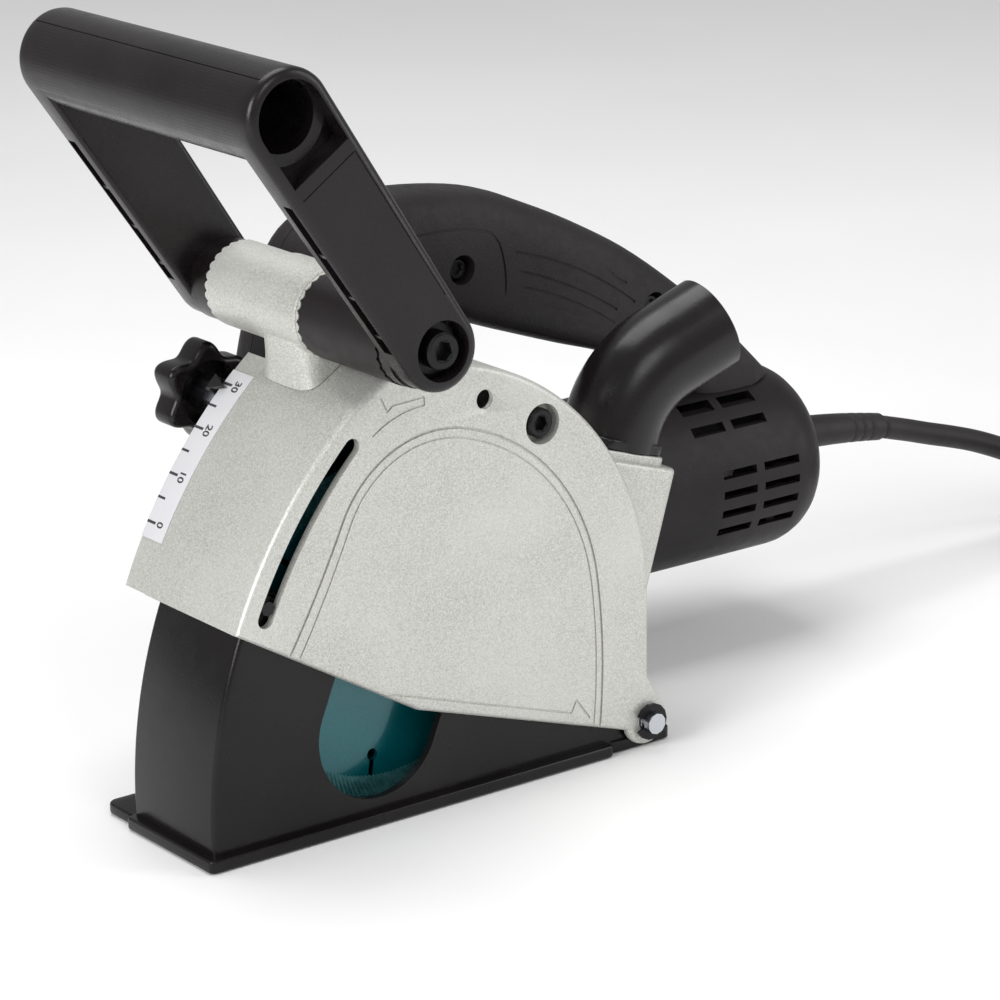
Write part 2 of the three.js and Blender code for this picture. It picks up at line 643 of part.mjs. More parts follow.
// ---- dust nozzle ----
function dustNozzle() {
  const { radius, bore, pitch, yaw, reach, corner } = NOZZLE;
  const { along, y, top } = DUCT;
  const start = ductPoint(along + 1, y, top + 3 + GAP);
  const elbow = ductPoint(along + 1, y, corner);
  const out = new THREE.Vector3(
    Math.cos(radians(pitch)) * Math.cos(radians(yaw)),
    Math.cos(radians(pitch)) * Math.sin(radians(yaw)),
    Math.sin(radians(pitch)),
  );
  const mouth = elbow.clone().addScaledVector(out, reach);
  const bendStart = ductPoint(along + 1, y, corner - 19);
  const bendEnd = elbow.clone().addScaledVector(out, 19);
  const path = new THREE.CurvePath();
  path.add(new THREE.LineCurve3(start, bendStart));
  path.add(new THREE.QuadraticBezierCurve3(bendStart, elbow, bendEnd));
  path.add(new THREE.LineCurve3(bendEnd, mouth));
  const collar = cut(
    box([along - 15, y - 17, top + 3 + GAP], [along + 15, y + 17, top + 7], leaning),
    box([along - 12, y - 12, top], [along + 12.5, y + 12, top + 9], leaning),
  );
  const hollow = sweep(path, 9, bore, 16);
  return cut(join(collar, sweep(path, 9, radius, 16)), hollow);
}

// ---- spindle and blades ----
const BLADES = [["blade_left", 13.4], ["blade_right", -13.4]];

function blade(y) {
  const slots = Array.from({ length: 9 }, (_, i) => {
    const place = new THREE.Matrix4()
      .makeTranslation(SPINDLE_X, 0, SPINDLE_Z)
      .multiply(new THREE.Matrix4().makeRotationY(radians(40 * i + 22)));
    return box([50, y - 5, -1.1], [70, y + 5, 1.1], place);
  });
  return cut(tubeY(SPINDLE_X, SPINDLE_Z, BLADE_RADIUS, 11.1, y - 1.1, y + 1.1), ...slots);
}

function spindle() {
  return turnedY(
    [[0, -26], [6.3, -26], [6.9, -25], [6.9, 20], [7.5, 20.4], [7.5, 57], [5, 58], [5, 87], [0, 87]],
    SPINDLE_X,
    SPINDLE_Z,
    24,
  );
}

add("spindle", spindle(), bareSteel);
const onSpindle = (outer, inner, low, high) => tubeY(SPINDLE_X, SPINDLE_Z, outer, inner, low, high);
add("inner_flange", join(onSpindle(20.5, 7.2, 14.5, 19.8), onSpindle(10.8, 7.2, 12.8, 15)), bareSteel);
for (const [name, y] of BLADES) add(name, blade(y), tealPaint);
for (const [i, [low, high]] of [[-12.3, -0.15], [0.15, 12.3]].entries()) {
  add(`spacer_ring_${i + 1}`, onSpindle(19, 7.2, low, high), bareSteel);
}

function lockNut() {
  const holes = [0, 90, 180, 270].map((degrees) => {
    const angle = radians(degrees + 45);
    const [x, z] = [SPINDLE_X + 15 * Math.cos(angle), SPINDLE_Z + 15 * Math.sin(angle)];
    return rodY(x, z, 2.6, -30, -20);
  });
  return cut(onSpindle(20, 7.2, -24.2, -14.5), ...holes);
}
add("lock_nut", lockNut(), blackSteel);

// ---- bevel gears ----
// A straight-toothed bevel gear with its apex at the origin and its axis along +Z.
function bevelGear(teeth, mateTeeth, bore, backRadius, phase) {
  const pitchAngle = Math.atan2(teeth, mateTeeth);
  const coneLength = GEAR_PITCH_RADIUS / Math.sin(Math.atan2(GEAR_TEETH, PINION_TEETH));
  const module = (2 * GEAR_PITCH_RADIUS) / GEAR_TEETH;
  const tip = pitchAngle + (0.75 * module) / coneLength;
  const root = pitchAngle - (1.05 * module) / coneLength;
  const pitch = (2 * Math.PI) / teeth;
  const corners = [[-0.34, root], [-0.13, tip], [0.13, tip], [0.34, root]];
  const ring = (distance) =>
    Array.from({ length: teeth }, (_, i) => i).flatMap((i) =>
      corners.map(([share, cone]) => {
        const angle = (i + share + phase) * pitch;
        const radius = distance * Math.sin(cone);
        return new THREE.Vector3(radius * Math.cos(angle), radius * Math.sin(angle), distance * Math.cos(cone));
      }),
    );
  const plain = (radius, z) =>
    Array.from({ length: teeth * 4 }, (_, i) => {
      const [share] = corners[i % 4];
      const angle = (Math.floor(i / 4) + share + phase) * pitch;
      return new THREE.Vector3(radius * Math.cos(angle), radius * Math.sin(angle), z);
    });
  const toe = ring(coneLength - 6.5);
  const heel = ring(coneLength);
  const back = coneLength * Math.cos(root) + 1.2;
  return loft([
    plain(bore, (coneLength - 6.5) * Math.cos(root)),
    toe,
    heel,
    plain(backRadius, back),
    plain(bore, back),
  ]);
}

function bevelWheel() {
  const geometry = bevelGear(GEAR_TEETH, PINION_TEETH, 7.8, 18.5, 0.5);
  geometry.rotateX(Math.PI / 2); // the gear's axis now points to -Y
  geometry.translate(SPINDLE_X, MOTOR_Y, SPINDLE_Z);
  return toSolid(geometry);
}

function bevelPinion() {
  const geometry = bevelGear(PINION_TEETH, GEAR_TEETH, 4.2, 5.6, 0);
  geometry.rotateY(Math.PI / 2); // the pinion's axis now points to +X
  geometry.translate(SPINDLE_X, MOTOR_Y, SPINDLE_Z);
  return toSolid(geometry);
}
add("bevel_wheel", bevelWheel(), bareSteel);
add("bevel_pinion", bevelPinion(), bareSteel);

// ---- motor ----
add(
  "armature",
  turnedX(
    [[0, -91], [3.9, -91], [3.9, -78], [4.8, -77.7], [4.8, -25], [20, -25], [20, 48], [4.8, 48], [4.8, 126], [0, 126]],
    MOTOR_Y,
    SPINDLE_Z,
    24,
  ),
  bareSteel,
);
add("commutator", tubeX(MOTOR_Y, SPINDLE_Z, 12, 5.1, 62, 80), copper);

function coolingFan() {
  const vanes = Array.from({ length: 9 }, (_, i) => {
    const turn = new THREE.Matrix4()
      .makeTranslation(0, MOTOR_Y, SPINDLE_Z)
      .multiply(new THREE.Matrix4().makeRotationX((2 * Math.PI * i) / 9));
    return box([-48, 8, -0.8], [-36, 28, 0.8], turn);
  });
  const hub = join(rodX(MOTOR_Y, SPINDLE_Z, 10, -48, -34), rodX(MOTOR_Y, SPINDLE_Z, 28.5, -50, -47.6));
  return cut(join(hub, ...vanes), rodX(MOTOR_Y, SPINDLE_Z, 5.1, -60, -20));
}
add("cooling_fan", coolingFan(), blackPlastic);
add("stator", tubeX(MOTOR_Y, SPINDLE_Z, 31.2, 22, -22, 44), bareSteel);
for (const [side, name] of [[-1, "lower"], [1, "upper"]]) {
  const radial = (from, to) => [SPINDLE_Z + side * from, SPINDLE_Z + side * to].sort((a, b) => a - b);
  const [low, high] = radial(13.5, 32);
  const [brushLow, brushHigh] = radial(12.4, 26);
  const bore = box([66.7, MOTOR_Y - 3.3, 0], [75.3, MOTOR_Y + 3.3, 200]);
  const holder = box([64, MOTOR_Y - 6, low], [78, MOTOR_Y + 6, high]);
  add(`brush_holder_${name}`, cut(holder, bore), copper);
  add(`carbon_brush_${name}`, box([67, MOTOR_Y - 3, brushLow], [75, MOTOR_Y + 3, brushHigh]), carbon);
}

// ---- depth stop ----
const [STOP_X, STOP_Z] = aboutPivot(STOP_RADIUS, STOP_ANGLE);

function scalePointer() {
  const radial = (from, to, half, low, high) => {
    const place = new THREE.Matrix4()
      .makeTranslation(0, 0, PIVOT_Z)
      .multiply(new THREE.Matrix4().makeRotationY(radians(STOP_ANGLE)));
    return box([-to, low, -half], [-from, high, half], place);
  };
  return cut(
    join(rodY(STOP_X, STOP_Z, 8.2, 41, 43), radial(185, 194, 2.6, 41, 43), radial(192.4, 194, 2.6, 35, 43)),
    rodY(STOP_X, STOP_Z, 6.5 + GAP, 30, 50),
  );
}
add("stop_bolt", join(rodY(STOP_X, STOP_Z, 6, 24, 25.7), rodY(STOP_X, STOP_Z, 3, 25, 69)), zincSteel);
add("stop_collar", tubeY(STOP_X, STOP_Z, 6.5, 3 + GAP, GUARD_LEFT + GAP, 65.4), zincSteel);
add("scale_pointer", scalePointer(), blackPlastic);

function starKnob() {
  const lobes = 6;
  const outline = Array.from({ length: 36 }, (_, i) => {
    const angle = (2 * Math.PI * i) / 36;
    const radius = 16.4 + 2.1 * Math.cos(lobes * (angle - 0.5));
    return [STOP_X + radius * Math.cos(angle), STOP_Z + radius * Math.sin(angle)];
  });
  return cut(
    plate(outline, 58.5, 71.5, 1.2, 1),
    rodY(STOP_X, STOP_Z, 12, 50, 65.7),
    rodY(STOP_X, STOP_Z, 3 + GAP, 60, 69.4),
  );
}
add("star_knob", starKnob(), blackPlastic);

// ---- dust nozzle and its screw ----
add("dust_nozzle", dustNozzle(), blackPlastic);

// ---- cord ----
const CORD_ROUTE = [
  [204.6, 65, 62.9], [219.6, 65, 58.6], [232.6, 65, 54.6], [245, 65, 51], [258, 65, 46.8], [272, 65, 41.3], [286, 65, 35], [300, 65, 27.8],
  [312, 65, 21.2], [325.5, 65, 14.5],
];

class Relief extends THREE.Curve {
  getPoint(t, target = new THREE.Vector3()) {
    const { z, inside, end, fall } = CORD_EXIT;
    return target.set(inside + (end - inside) * t, MOTOR_Y, z - fall * t ** 1.8);
  }
}

function strainRelief() {
  const path = new Relief();
  const rings = Array.from({ length: 7 }, (_, i) => {
    const t = i / 6;
    const radius = 7.3 - 1.9 * t;
    const centre = path.getPoint(t);
    const slope = path.getTangent(t);
    return Array.from({ length: 12 }, (__, j) => {
      const angle = (2 * Math.PI * j) / 12;
      const [side, up] = [radius * Math.cos(angle), radius * Math.sin(angle)];
      return new THREE.Vector3(centre.x - up * slope.z, centre.y + side, centre.z + up * slope.x);
    });
  });
  const bore = [...rings].reverse().map((ring, i) => {
    const centre = path.getPoint(1 - i / 6);
    return ring.map((point) => point.clone().sub(centre).setLength(3).add(centre));
  });
  return toSolid(loft([...rings, ...bore]));
}
add("strain_relief", strainRelief(), cordRubber);

const route = new THREE.CatmullRomCurve3(CORD_ROUTE.map((point) => new THREE.Vector3(...point)));
add("power_cord", sweep(route, 10, CORD_RADIUS, 10), cordRubber);

function cordCoil() {
  const { inner, outer, height } = COIL;
  const profile = [
    [inner, 4], [inner + 4, 0.1], [outer - 4, 0.1], [outer, 4], [outer, height - 4], [outer - 4, height],
    [inner + 4, height], [inner, height - 4], [inner, 4],
  ].map(([radius, z]) => new THREE.Vector2(radius, z));
  const geometry = new THREE.LatheGeometry(profile, 28);
  geometry.rotateX(Math.PI / 2);
  geometry.translate(COIL.x, COIL.y, 0);
  return toSolid(geometry);
}
add("cord_coil", cordCoil(), cordRubber);

function plug() {
  const forward = new THREE.Vector3(Math.cos(radians(PLUG.bearing)), Math.sin(radians(PLUG.bearing)), 0);
  const at = (along, across = 0) => [
    PLUG.x + forward.x * along - forward.y * across,
    PLUG.y + forward.y * along + forward.x * across,
    PLUG.z,
  ];
  const body = rod(at(0), at(28), 7.5, 12);
  const face = rod(at(27.9), at(36), 12);
  const pins = [-9.3, 9.3].map((side) => rod(at(35, side), at(55, side), 2.3));
  return join(body, face, ...pins);
}
add("plug", plug(), cordRubber);

// ---- origin: middle of the tool's footprint box, on the ground ----
const extent = new THREE.Box3();
for (const mesh of chaser.children) {
  if (!["power_cord", "cord_coil", "plug"].includes(mesh.name)) extent.expandByObject(mesh);
}
const centre = extent.getCenter(new THREE.Vector3());
chaser.position.set(-centre.x, -centre.y, -extent.min.z);

const assembly = new THREE.Group();
assembly.add(chaser);

export default assembly;
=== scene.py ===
import math
import bmesh
import bpy
from mathutils import Matrix, Vector


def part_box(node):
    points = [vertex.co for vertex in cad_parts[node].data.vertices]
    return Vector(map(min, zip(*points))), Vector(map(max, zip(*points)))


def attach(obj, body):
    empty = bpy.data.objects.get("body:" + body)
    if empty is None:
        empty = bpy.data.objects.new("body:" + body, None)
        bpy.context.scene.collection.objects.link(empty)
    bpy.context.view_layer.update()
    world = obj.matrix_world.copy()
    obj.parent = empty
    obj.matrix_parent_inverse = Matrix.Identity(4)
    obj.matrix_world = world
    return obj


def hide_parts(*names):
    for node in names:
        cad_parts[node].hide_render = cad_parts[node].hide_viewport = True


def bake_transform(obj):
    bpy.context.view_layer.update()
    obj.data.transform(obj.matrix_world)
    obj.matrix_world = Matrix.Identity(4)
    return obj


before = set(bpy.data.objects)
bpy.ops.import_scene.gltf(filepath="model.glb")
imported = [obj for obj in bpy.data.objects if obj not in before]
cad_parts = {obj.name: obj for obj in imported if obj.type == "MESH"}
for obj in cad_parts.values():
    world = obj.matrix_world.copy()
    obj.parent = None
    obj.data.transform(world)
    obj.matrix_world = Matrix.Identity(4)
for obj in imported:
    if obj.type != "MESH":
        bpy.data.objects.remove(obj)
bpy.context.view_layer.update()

# ---- the working frame, in millimetres ----
# x = 0 on the plunge pivot, y = 0 midway between the discs, z = 0 on the floor
MM = 0.001
BASE_FRONT, BASE_RIGHT = -191.3, -31.4
_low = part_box("base_frame")[0]
ORIGIN = Vector((_low.x - BASE_FRONT * MM, _low.y - BASE_RIGHT * MM, 0))
TO_ROW = Matrix.Translation(ORIGIN) @ Matrix.Scale(MM, 4)
GAP = 0.3
PIVOT_Z = 11
SPINDLE = (-105, 66)
MOTOR_Y = 65
AXIS_Z = 66
GRIP = (-117, 179.2)
BAR = (-174.7, 265)
LEAN = math.radians(17.2)


def row(point):
    return TO_ROW @ Vector(point)


# ---- camera ----
camera_data = bpy.data.cameras.new("camera")
camera = bpy.data.objects.new("camera", camera_data)
bpy.context.scene.collection.objects.link(camera)
bpy.context.scene.camera = camera
camera_data.sensor_width = 36
camera_data.lens = 138.57
RIGHT = Vector((0.7937, -0.6082, -0.0109)).normalized()
BACK = Vector((-0.5775, -0.7591, 0.3006))
BACK = (BACK - BACK.dot(RIGHT) * RIGHT).normalized()
UP = BACK.cross(RIGHT)
camera.matrix_world = Matrix.Translation(row((-844.33, -1053.72, 513.7))) @ Matrix(
    [[RIGHT[i], UP[i], BACK[i]] for i in range(3)]
).to_4x4()

# ---- materials ----


class Nodes:
    """A material's node tree, with short calls for the nodes that repeat."""

    def __init__(self, name):
        self.material = bpy.data.materials.new(name)
        self.material.use_nodes = True
        self.tree = self.material.node_tree
        self.shader = self.tree.nodes["Principled BSDF"]
        self.coords = self.tree.nodes.new("ShaderNodeTexCoord").outputs["Object"]

    def add(self, kind, inputs=None, **settings):
        node = self.tree.nodes.new(kind)
        for key, value in settings.items():
            setattr(node, key, value)
        for key, value in (inputs or {}).items():
            if isinstance(value, bpy.types.NodeSocket):
                self.tree.links.new(value, node.inputs[key])
            else:
                node.inputs[key].default_value = value
        return node

    def noise(self, scale, detail=2, roughness=0.5):
        values = {"Vector": self.coords, "Scale": scale, "Detail": detail, "Roughness": roughness}
        return self.add("ShaderNodeTexNoise", values).outputs["Fac"]

    def voronoi(self, scale, feature="F1"):
        node = self.add("ShaderNodeTexVoronoi", {"Vector": self.coords, "Scale": scale}, feature=feature)
        return node.outputs["Distance"]

    def ramp(self, value, low, high, to_low=0.0, to_high=1.0):
        values = {"Value": value, "From Min": low, "From Max": high, "To Min": to_low, "To Max": to_high}
        return self.add("ShaderNodeMapRange", values).outputs["Result"]

    def mix(self, factor, a, b):
        node = self.add("ShaderNodeMix", {"Factor": factor}, data_type="RGBA")
        for socket, value in ((node.inputs[6], a), (node.inputs[7], b)):
            if isinstance(value, bpy.types.NodeSocket):
                self.tree.links.new(value, socket)
            else:
                socket.default_value = (*value, 1)
        return node.outputs[2]

    def bump(self, height, distance, strength=1.0, normal=None):
        values = {"Height": height, "Distance": distance, "Strength": strength}
        if normal is not None:
            values["Normal"] = normal
        return self.add("ShaderNodeBump", values).outputs["Normal"]

    def link(self, socket, name):
        self.tree.links.new(socket, self.shader.inputs[name])

    def set(self, **values):
        for name, value in values.items():
            self.shader.inputs[name.replace("_", " ")].default_value = value


def grained(name, dark, light, grain, depth, rough, metallic=0.0, cloud=18, shine=0.5):
    """Colour that drifts softly between two tones, with a fine grain in bump and roughness."""
    n = Nodes(name)
    drift = n.ramp(n.noise(cloud, 4), 0.35, 0.65)
    n.link(n.mix(drift, dark, light), "Base Color")
    fine = n.noise(grain, 3, 0.6)
    n.link(n.bump(fine, depth), "Normal")
    n.link(n.ramp(n.noise(grain * 0.13, 4), 0.3, 0.7, rough - 0.05, rough + 0.05), "Roughness")
    n.set(Metallic=metallic)
    n.shader.inputs["Specular IOR Level"].default_value = shine
    return n.material


def silver_paint():
    n = Nodes("silver_paint")
    speck = n.add("ShaderNodeTexVoronoi", {"Vector": n.coords, "Scale": 2600}, feature="F1")
    tone = n.ramp(speck.outputs["Color"], 0.0, 1.0)
    body = n.mix(tone, (0.34, 0.34, 0.315), (0.68, 0.68, 0.64))
    drift = n.ramp(n.noise(25, 3), 0.3, 0.7)
    n.link(n.mix(drift, body, n.mix(0.5, body, (0.64, 0.64, 0.61))), "Base Color")
    n.link(n.bump(n.noise(900, 3, 0.6), 0.00006), "Normal")
    n.link(n.ramp(n.noise(700, 2), 0.3, 0.7, 0.34, 0.46), "Roughness")
    n.set(Metallic=0.35)
    return n.material


def brushed(name, tone, rough, axis_scale=(40, 2500, 40)):
    n = Nodes(name)
    mapping = n.add("ShaderNodeMapping", {"Vector": n.coords, "Scale": axis_scale})
    streak = n.add("ShaderNodeTexNoise", {"Vector": mapping.outputs[0], "Scale": 1.0, "Detail": 3})
    factor = n.ramp(streak.outputs["Fac"], 0.3, 0.7)
    n.link(n.mix(factor, [c * 0.8 for c in tone], tone), "Base Color")
    n.link(n.bump(streak.outputs["Fac"], 0.00002), "Normal")
    n.link(n.ramp(streak.outputs["Fac"], 0.3, 0.7, rough - 0.06, rough + 0.08), "Roughness")
    n.set(Metallic=1.0)
    return n.material


def teal_lacquer():
    n = Nodes("teal_lacquer")
    flake = n.ramp(n.voronoi(2600), 0.0, 0.6)
    n.link(n.mix(flake, (0.0, 0.16, 0.18), (0.0, 0.10, 0.12)), "Base Color")
    n.link(n.bump(n.noise(60, 2), 0.00005), "Normal")
    n.link(n.ramp(n.noise(120, 3), 0.3, 0.7, 0.16, 0.26), "Roughness")
    n.set(Metallic=0.35)
    n.shader.inputs["Coat Weight"].default_value = 0.6
    n.shader.inputs["Coat Roughness"].default_value = 0.05
    return n.material


def soft_grip():
    n = Nodes("soft_grip")
    drift = n.ramp(n.noise(22, 4), 0.35, 0.65)
    n.link(n.mix(drift, (0.011, 0.009, 0.0098), (0.019, 0.0158, 0.0168)), "Base Color")
    cells = n.voronoi(1300)
    n.link(n.bump(cells, 0.00012, 0.8, n.bump(n.noise(2600, 2), 0.00004)), "Normal")
    n.link(n.ramp(n.noise(300, 3), 0.3, 0.7, 0.46, 0.6), "Roughness")
    n.shader.inputs["Specular IOR Level"].default_value = 0.26
    return n.material


MATERIALS = {
    "silver": silver_paint(),
    "plastic": grained("black_plastic", (0.006, 0.0045, 0.0048), (0.011, 0.0085, 0.009), 1400, 0.00004, 0.27,
                       shine=0.32),
    "matt": grained("matt_plastic", (0.010, 0.0078, 0.0084), (0.017, 0.0135, 0.0145), 1500, 0.00008, 0.42,
                    shine=0.22),
    "gloss": grained("gloss_plastic", (0.006, 0.0045, 0.005), (0.010, 0.0078, 0.0085), 700, 0.00003, 0.27,
                     shine=0.36),
    "grip": soft_grip(),
    "base": grained("base_coat", (0.0045, 0.0036, 0.0036), (0.009, 0.0074, 0.0074), 1000, 0.00004, 0.24,
                    shine=0.26),
    "oxide": grained("black_oxide", (0.012, 0.012, 0.013), (0.022, 0.022, 0.024), 1800, 0.00003, 0.30, 0.7),
    "zinc": grained("zinc_plate", (0.50, 0.52, 0.56), (0.62, 0.64, 0.68), 700, 0.00002, 0.22, 1.0),
    "steel": brushed("machined_steel", (0.52, 0.52, 0.53), 0.3),
    "teal": teal_lacquer(),
    "diamond": grained("diamond_segment", (0.02, 0.12, 0.13), (0.05, 0.18, 0.19), 2600, 0.00015, 0.5, 0.3,
                       cloud=400),
    "copper": brushed("copper", (0.75, 0.36, 0.2), 0.35),
    "carbon": grained("carbon", (0.02, 0.02, 0.02), (0.035, 0.035, 0.035), 1800, 0.0001, 0.7),
    "label": grained("label_film", (0.60, 0.60, 0.62), (0.66, 0.66, 0.68), 900, 0.00001, 0.35),
    "ink": grained("ink", (0.03, 0.03, 0.035), (0.05, 0.05, 0.055), 900, 0.00001, 0.5),
    "rubber": grained("cord_rubber", (0.011, 0.009, 0.01), (0.02, 0.0165, 0.018), 1600, 0.0001, 0.5,
                      shine=0.35),
}

# ---- mesh building, in millimetres ----


def to_object(name, bm):
    bmesh.ops.recalc_face_normals(bm, faces=bm.faces)
    mesh = bpy.data.meshes.new(name)
    bm.to_mesh(mesh)
    bm.free()
    obj = bpy.data.objects.new(name, mesh)
    bpy.context.scene.collection.objects.link(obj)
    return obj


def plate(outline, low, high, name="plate"):
    """An outline of (x, z) points as a plate between two y values."""
    bm = bmesh.new()
    rings = [[bm.verts.new((x, y, z)) for x, z in outline] for y in (low, high)]
    bm.faces.new(rings[0])
    bm.faces.new(list(reversed(rings[1])))
    count = len(outline)
    for i in range(count):
        j = (i + 1) % count
        bm.faces.new((rings[0][i], rings[0][j], rings[1][j], rings[1][i]))
    return to_object(name, bm)


def loft(rings, name="loft", closed=False):
    """Rings of matching point counts joined in order, with the ends capped unless closed."""
    bm = bmesh.new()
    verts = [[bm.verts.new(p) for p in ring] for ring in rings]
    count = len(rings[0])
    pairs = list(zip(verts, verts[1:])) + ([(verts[-1], verts[0])] if closed else [])
    for a, b in pairs:
        for i in range(count):
            j = (i + 1) % count
            bm.faces.new((a[i], a[j], b[j], b[i]))
    if not closed:
        bm.faces.new(verts[0])
        bm.faces.new(verts[-1])
    return to_object(name, bm)


def frame_of(direction):
    direction = Vector(direction).normalized()
    side = direction.orthogonal().normalized()
    return side, direction.cross(side)


def circle_of(side, up, segments):
    """Unit vectors evenly round the circle that two directions span."""
    angles = [2 * math.pi * i / segments for i in range(segments)]
    return [math.cos(a) * side + math.sin(a) * up for a in angles]


def turned(profile, start, direction, segments=64, name="turned"):
    """A profile of (distance along, radius) revolved about a line; a radius of 0 closes an end."""
    start, direction = Vector(start), Vector(direction).normalized()
    side, up = frame_of(direction)
    bm = bmesh.new()
    rings = []
    for along, radius in profile:
        centre = start + direction * along
        if radius == 0:
            rings.append([bm.verts.new(centre)])
            continue
        spokes = circle_of(side, up, segments)
        rings.append([bm.verts.new(centre + radius * spoke) for spoke in spokes])
    for a, b in zip(rings, rings[1:]):
        for i in range(segments):
            j = (i + 1) % segments
            corners = [a[i % len(a)], a[j % len(a)], b[j % len(b)], b[i % len(b)]]
            unique = list(dict.fromkeys(corners))
            if len(unique) > 2:
                bm.faces.new(unique)
    for ring in (rings[0], rings[-1]):
        if len(ring) > 1 and profile[0] != profile[-1]:
            bm.faces.new(ring)
    if profile[0] == profile[-1] and len(rings[0]) > 1:
        bmesh.ops.remove_doubles(bm, verts=rings[0] + rings[-1], dist=1e-5)
    return to_object(name, bm)


def rod(start, end, radius, end_radius=None, segments=48, name="rod"):
    direction = Vector(end) - Vector(start)
    end_radius = radius if end_radius is None else end_radius
    return turned([(0, radius), (direction.length, end_radius)], start, direction, segments, name)


def rod_y(x, z, radius, low, high, segments=48):
    return rod((x, low, z), (x, high, z), radius, segments=segments)


def block(low, high, matrix=None, name="block"):
    bm = bmesh.new()
    bmesh.ops.create_cube(bm, size=1)
    size = [h - l for l, h in zip(low, high)]
    middle = [(h + l) / 2 for l, h in zip(low, high)]
    bm.transform(Matrix.Translation(middle) @ Matrix.Diagonal((*size, 1)))
    if matrix is not None:
        bm.transform(matrix)
    return to_object(name, bm)


def bake(obj):
    """Makes the modifiers' result the mesh itself."""
    depsgraph = bpy.context.evaluated_depsgraph_get()
    mesh = bpy.data.meshes.new_from_object(obj.evaluated_get(depsgraph))
    obj.modifiers.clear()
    obj.data = mesh
    return obj


def combine(obj, tools, operation):
    for tool in tools:
        modifier = obj.modifiers.new("boolean", "BOOLEAN")
        modifier.object, modifier.operation, modifier.solver = tool, operation, "MANIFOLD"
    bake(obj)
    for tool in tools:
        bpy.data.objects.remove(tool)
    return obj


def cut(obj, *tools):
    return combine(obj, tools, "DIFFERENCE")


def join(obj, *tools):
    return combine(obj, tools, "UNION")


def meet(obj, *tools):
    return combine(obj, tools, "INTERSECT")


def finish_piece(obj, name, body, material, replaces=(), smooth=32):
    obj.name = name
    obj.data.transform(TO_ROW)
    obj.data.materials.clear()
    obj.data.materials.append(MATERIALS[material])
    obj.data.shade_smooth()
    obj.data.set_sharp_from_angle(angle=math.radians(smooth))
    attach(obj, body)
    if replaces:
        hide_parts(*replaces)
    return obj


def paint(node, material):
    """Gives a CAD node that stays its finished material."""
    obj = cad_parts[node]
    obj.data.materials.clear()
    obj.data.materials.append(MATERIALS[material])


def arc(x, z, radius, start, end, steps):
    angles = [math.radians(start + (end - start) * i / steps) for i in range(steps + 1)]
    return [(x + radius * math.cos(a), z + radius * math.sin(a)) for a in angles]


def about_pivot(radius, angle):
    a = math.radians(angle)
    return (-radius * math.cos(a), PIVOT_Z + radius * math.sin(a))


def pivot_arc(radius, start, end, steps):
    return arc(0, PIVOT_Z, radius, 180 - start, 180 - end, steps)


def band(outer, inner, start, end, steps=24):
    return pivot_arc(outer, start, end, steps) + pivot_arc(inner, end, start, steps)


# ---- cord ----
CORD_RADIUS = 4.8
COIL = Vector((365, -5))
PITCH, FIRST_RADIUS, TURNS, RISE, EXTRA, TAIL = 9.8, 69.8, 3.2, 110, 17, 75
CORD_LEAD = [
    (204.6, 65, 62.9), (219.6, 65, 58.6), (232.6, 65, 54.6), (245, 65, 51), (258, 65, 46.8), (272, 65, 41.3),
    (286, 65, 35), (300, 65, 27.8), (312, 65, 21.2), (325.5, 65, 14.5), (338, 65, 9.4), (350, 64.95, 6.2),
]


def ease(t):
    return t * t * (3 - 2 * t)


def coil_point(turned_by):
    """The cord's place in the coil after so many degrees: in, up one layer, out, then to the plug."""
    inner = FIRST_RADIUS - PITCH * TURNS
    floor_z = CORD_RADIUS + 0.1
    up, out = 360 * TURNS, 360 * TURNS + RISE
    tail = out + 360 * TURNS + EXTRA
    last = inner + PITCH * (tail - out) / 360
    if turned_by <= up:
        radius, z = FIRST_RADIUS - PITCH * turned_by / 360, floor_z
    elif turned_by <= out:
        radius, z = inner, floor_z + PITCH * ease((turned_by - up) / RISE)
    elif turned_by <= tail:
        radius, z = inner + PITCH * (turned_by - out) / 360, floor_z + PITCH
    else:
        share = ease((turned_by - tail) / TAIL)
        radius, z = last - 17 * share, floor_z + PITCH + 17.2 * share
    angle = math.radians(90 - turned_by)
    return (COIL.x + radius * math.cos(angle), COIL.y + radius * math.sin(angle), z)


def catmull(points, steps):
    """A smooth line through the points."""
    result = []
    last = len(points) - 1
    for i in range(last):
        p = [Vector(points[max(0, min(last, k))]) for k in (i - 1, i, i + 1, i + 2)]
        for s in range(steps):
            t = s / steps
            result.append(
                0.5 * (2 * p[1] + (p[2] - p[0]) * t + (2 * p[0] - 5 * p[1] + 4 * p[2] - p[3]) * t * t
                       + (3 * p[1] - p[0] - 3 * p[2] + p[3]) * t ** 3)
            )
    return result + [Vector(points[-1])]


def tube(path, radius, segments, name):
    """A round tube along a path, carried without twist; radius is a number or one per point."""
    radii = radius if isinstance(radius, list) else [radius] * len(path)
    last = len(path) - 1
    tangents = [(path[min(i + 1, last)] - path[max(i - 1, 0)]).normalized() for i in range(last + 1)]
    side = tangents[0].orthogonal().normalized()
    rings = []
    for point, tangent, r in zip(path, tangents, radii):
        side = (side - side.dot(tangent) * tangent).normalized()
        up = tangent.cross(side)
        rings.append([point + r * spoke for spoke in circle_of(side, up, segments)])
    return loft(rings, name)


def make_cord():
    """The cord, its middle line and the level direction in which it ends."""
    whole = 720 * TURNS + RISE + EXTRA + TAIL
    count = 168
    route = CORD_LEAD + [coil_point(whole * i / count) for i in range(count + 1)]
    path = catmull(route, 4)
    forward = path[-1] - path[-2]
    forward.z = 0
    return tube(path, CORD_RADIUS, 14, "power_cord_full"), path, forward.normalized()


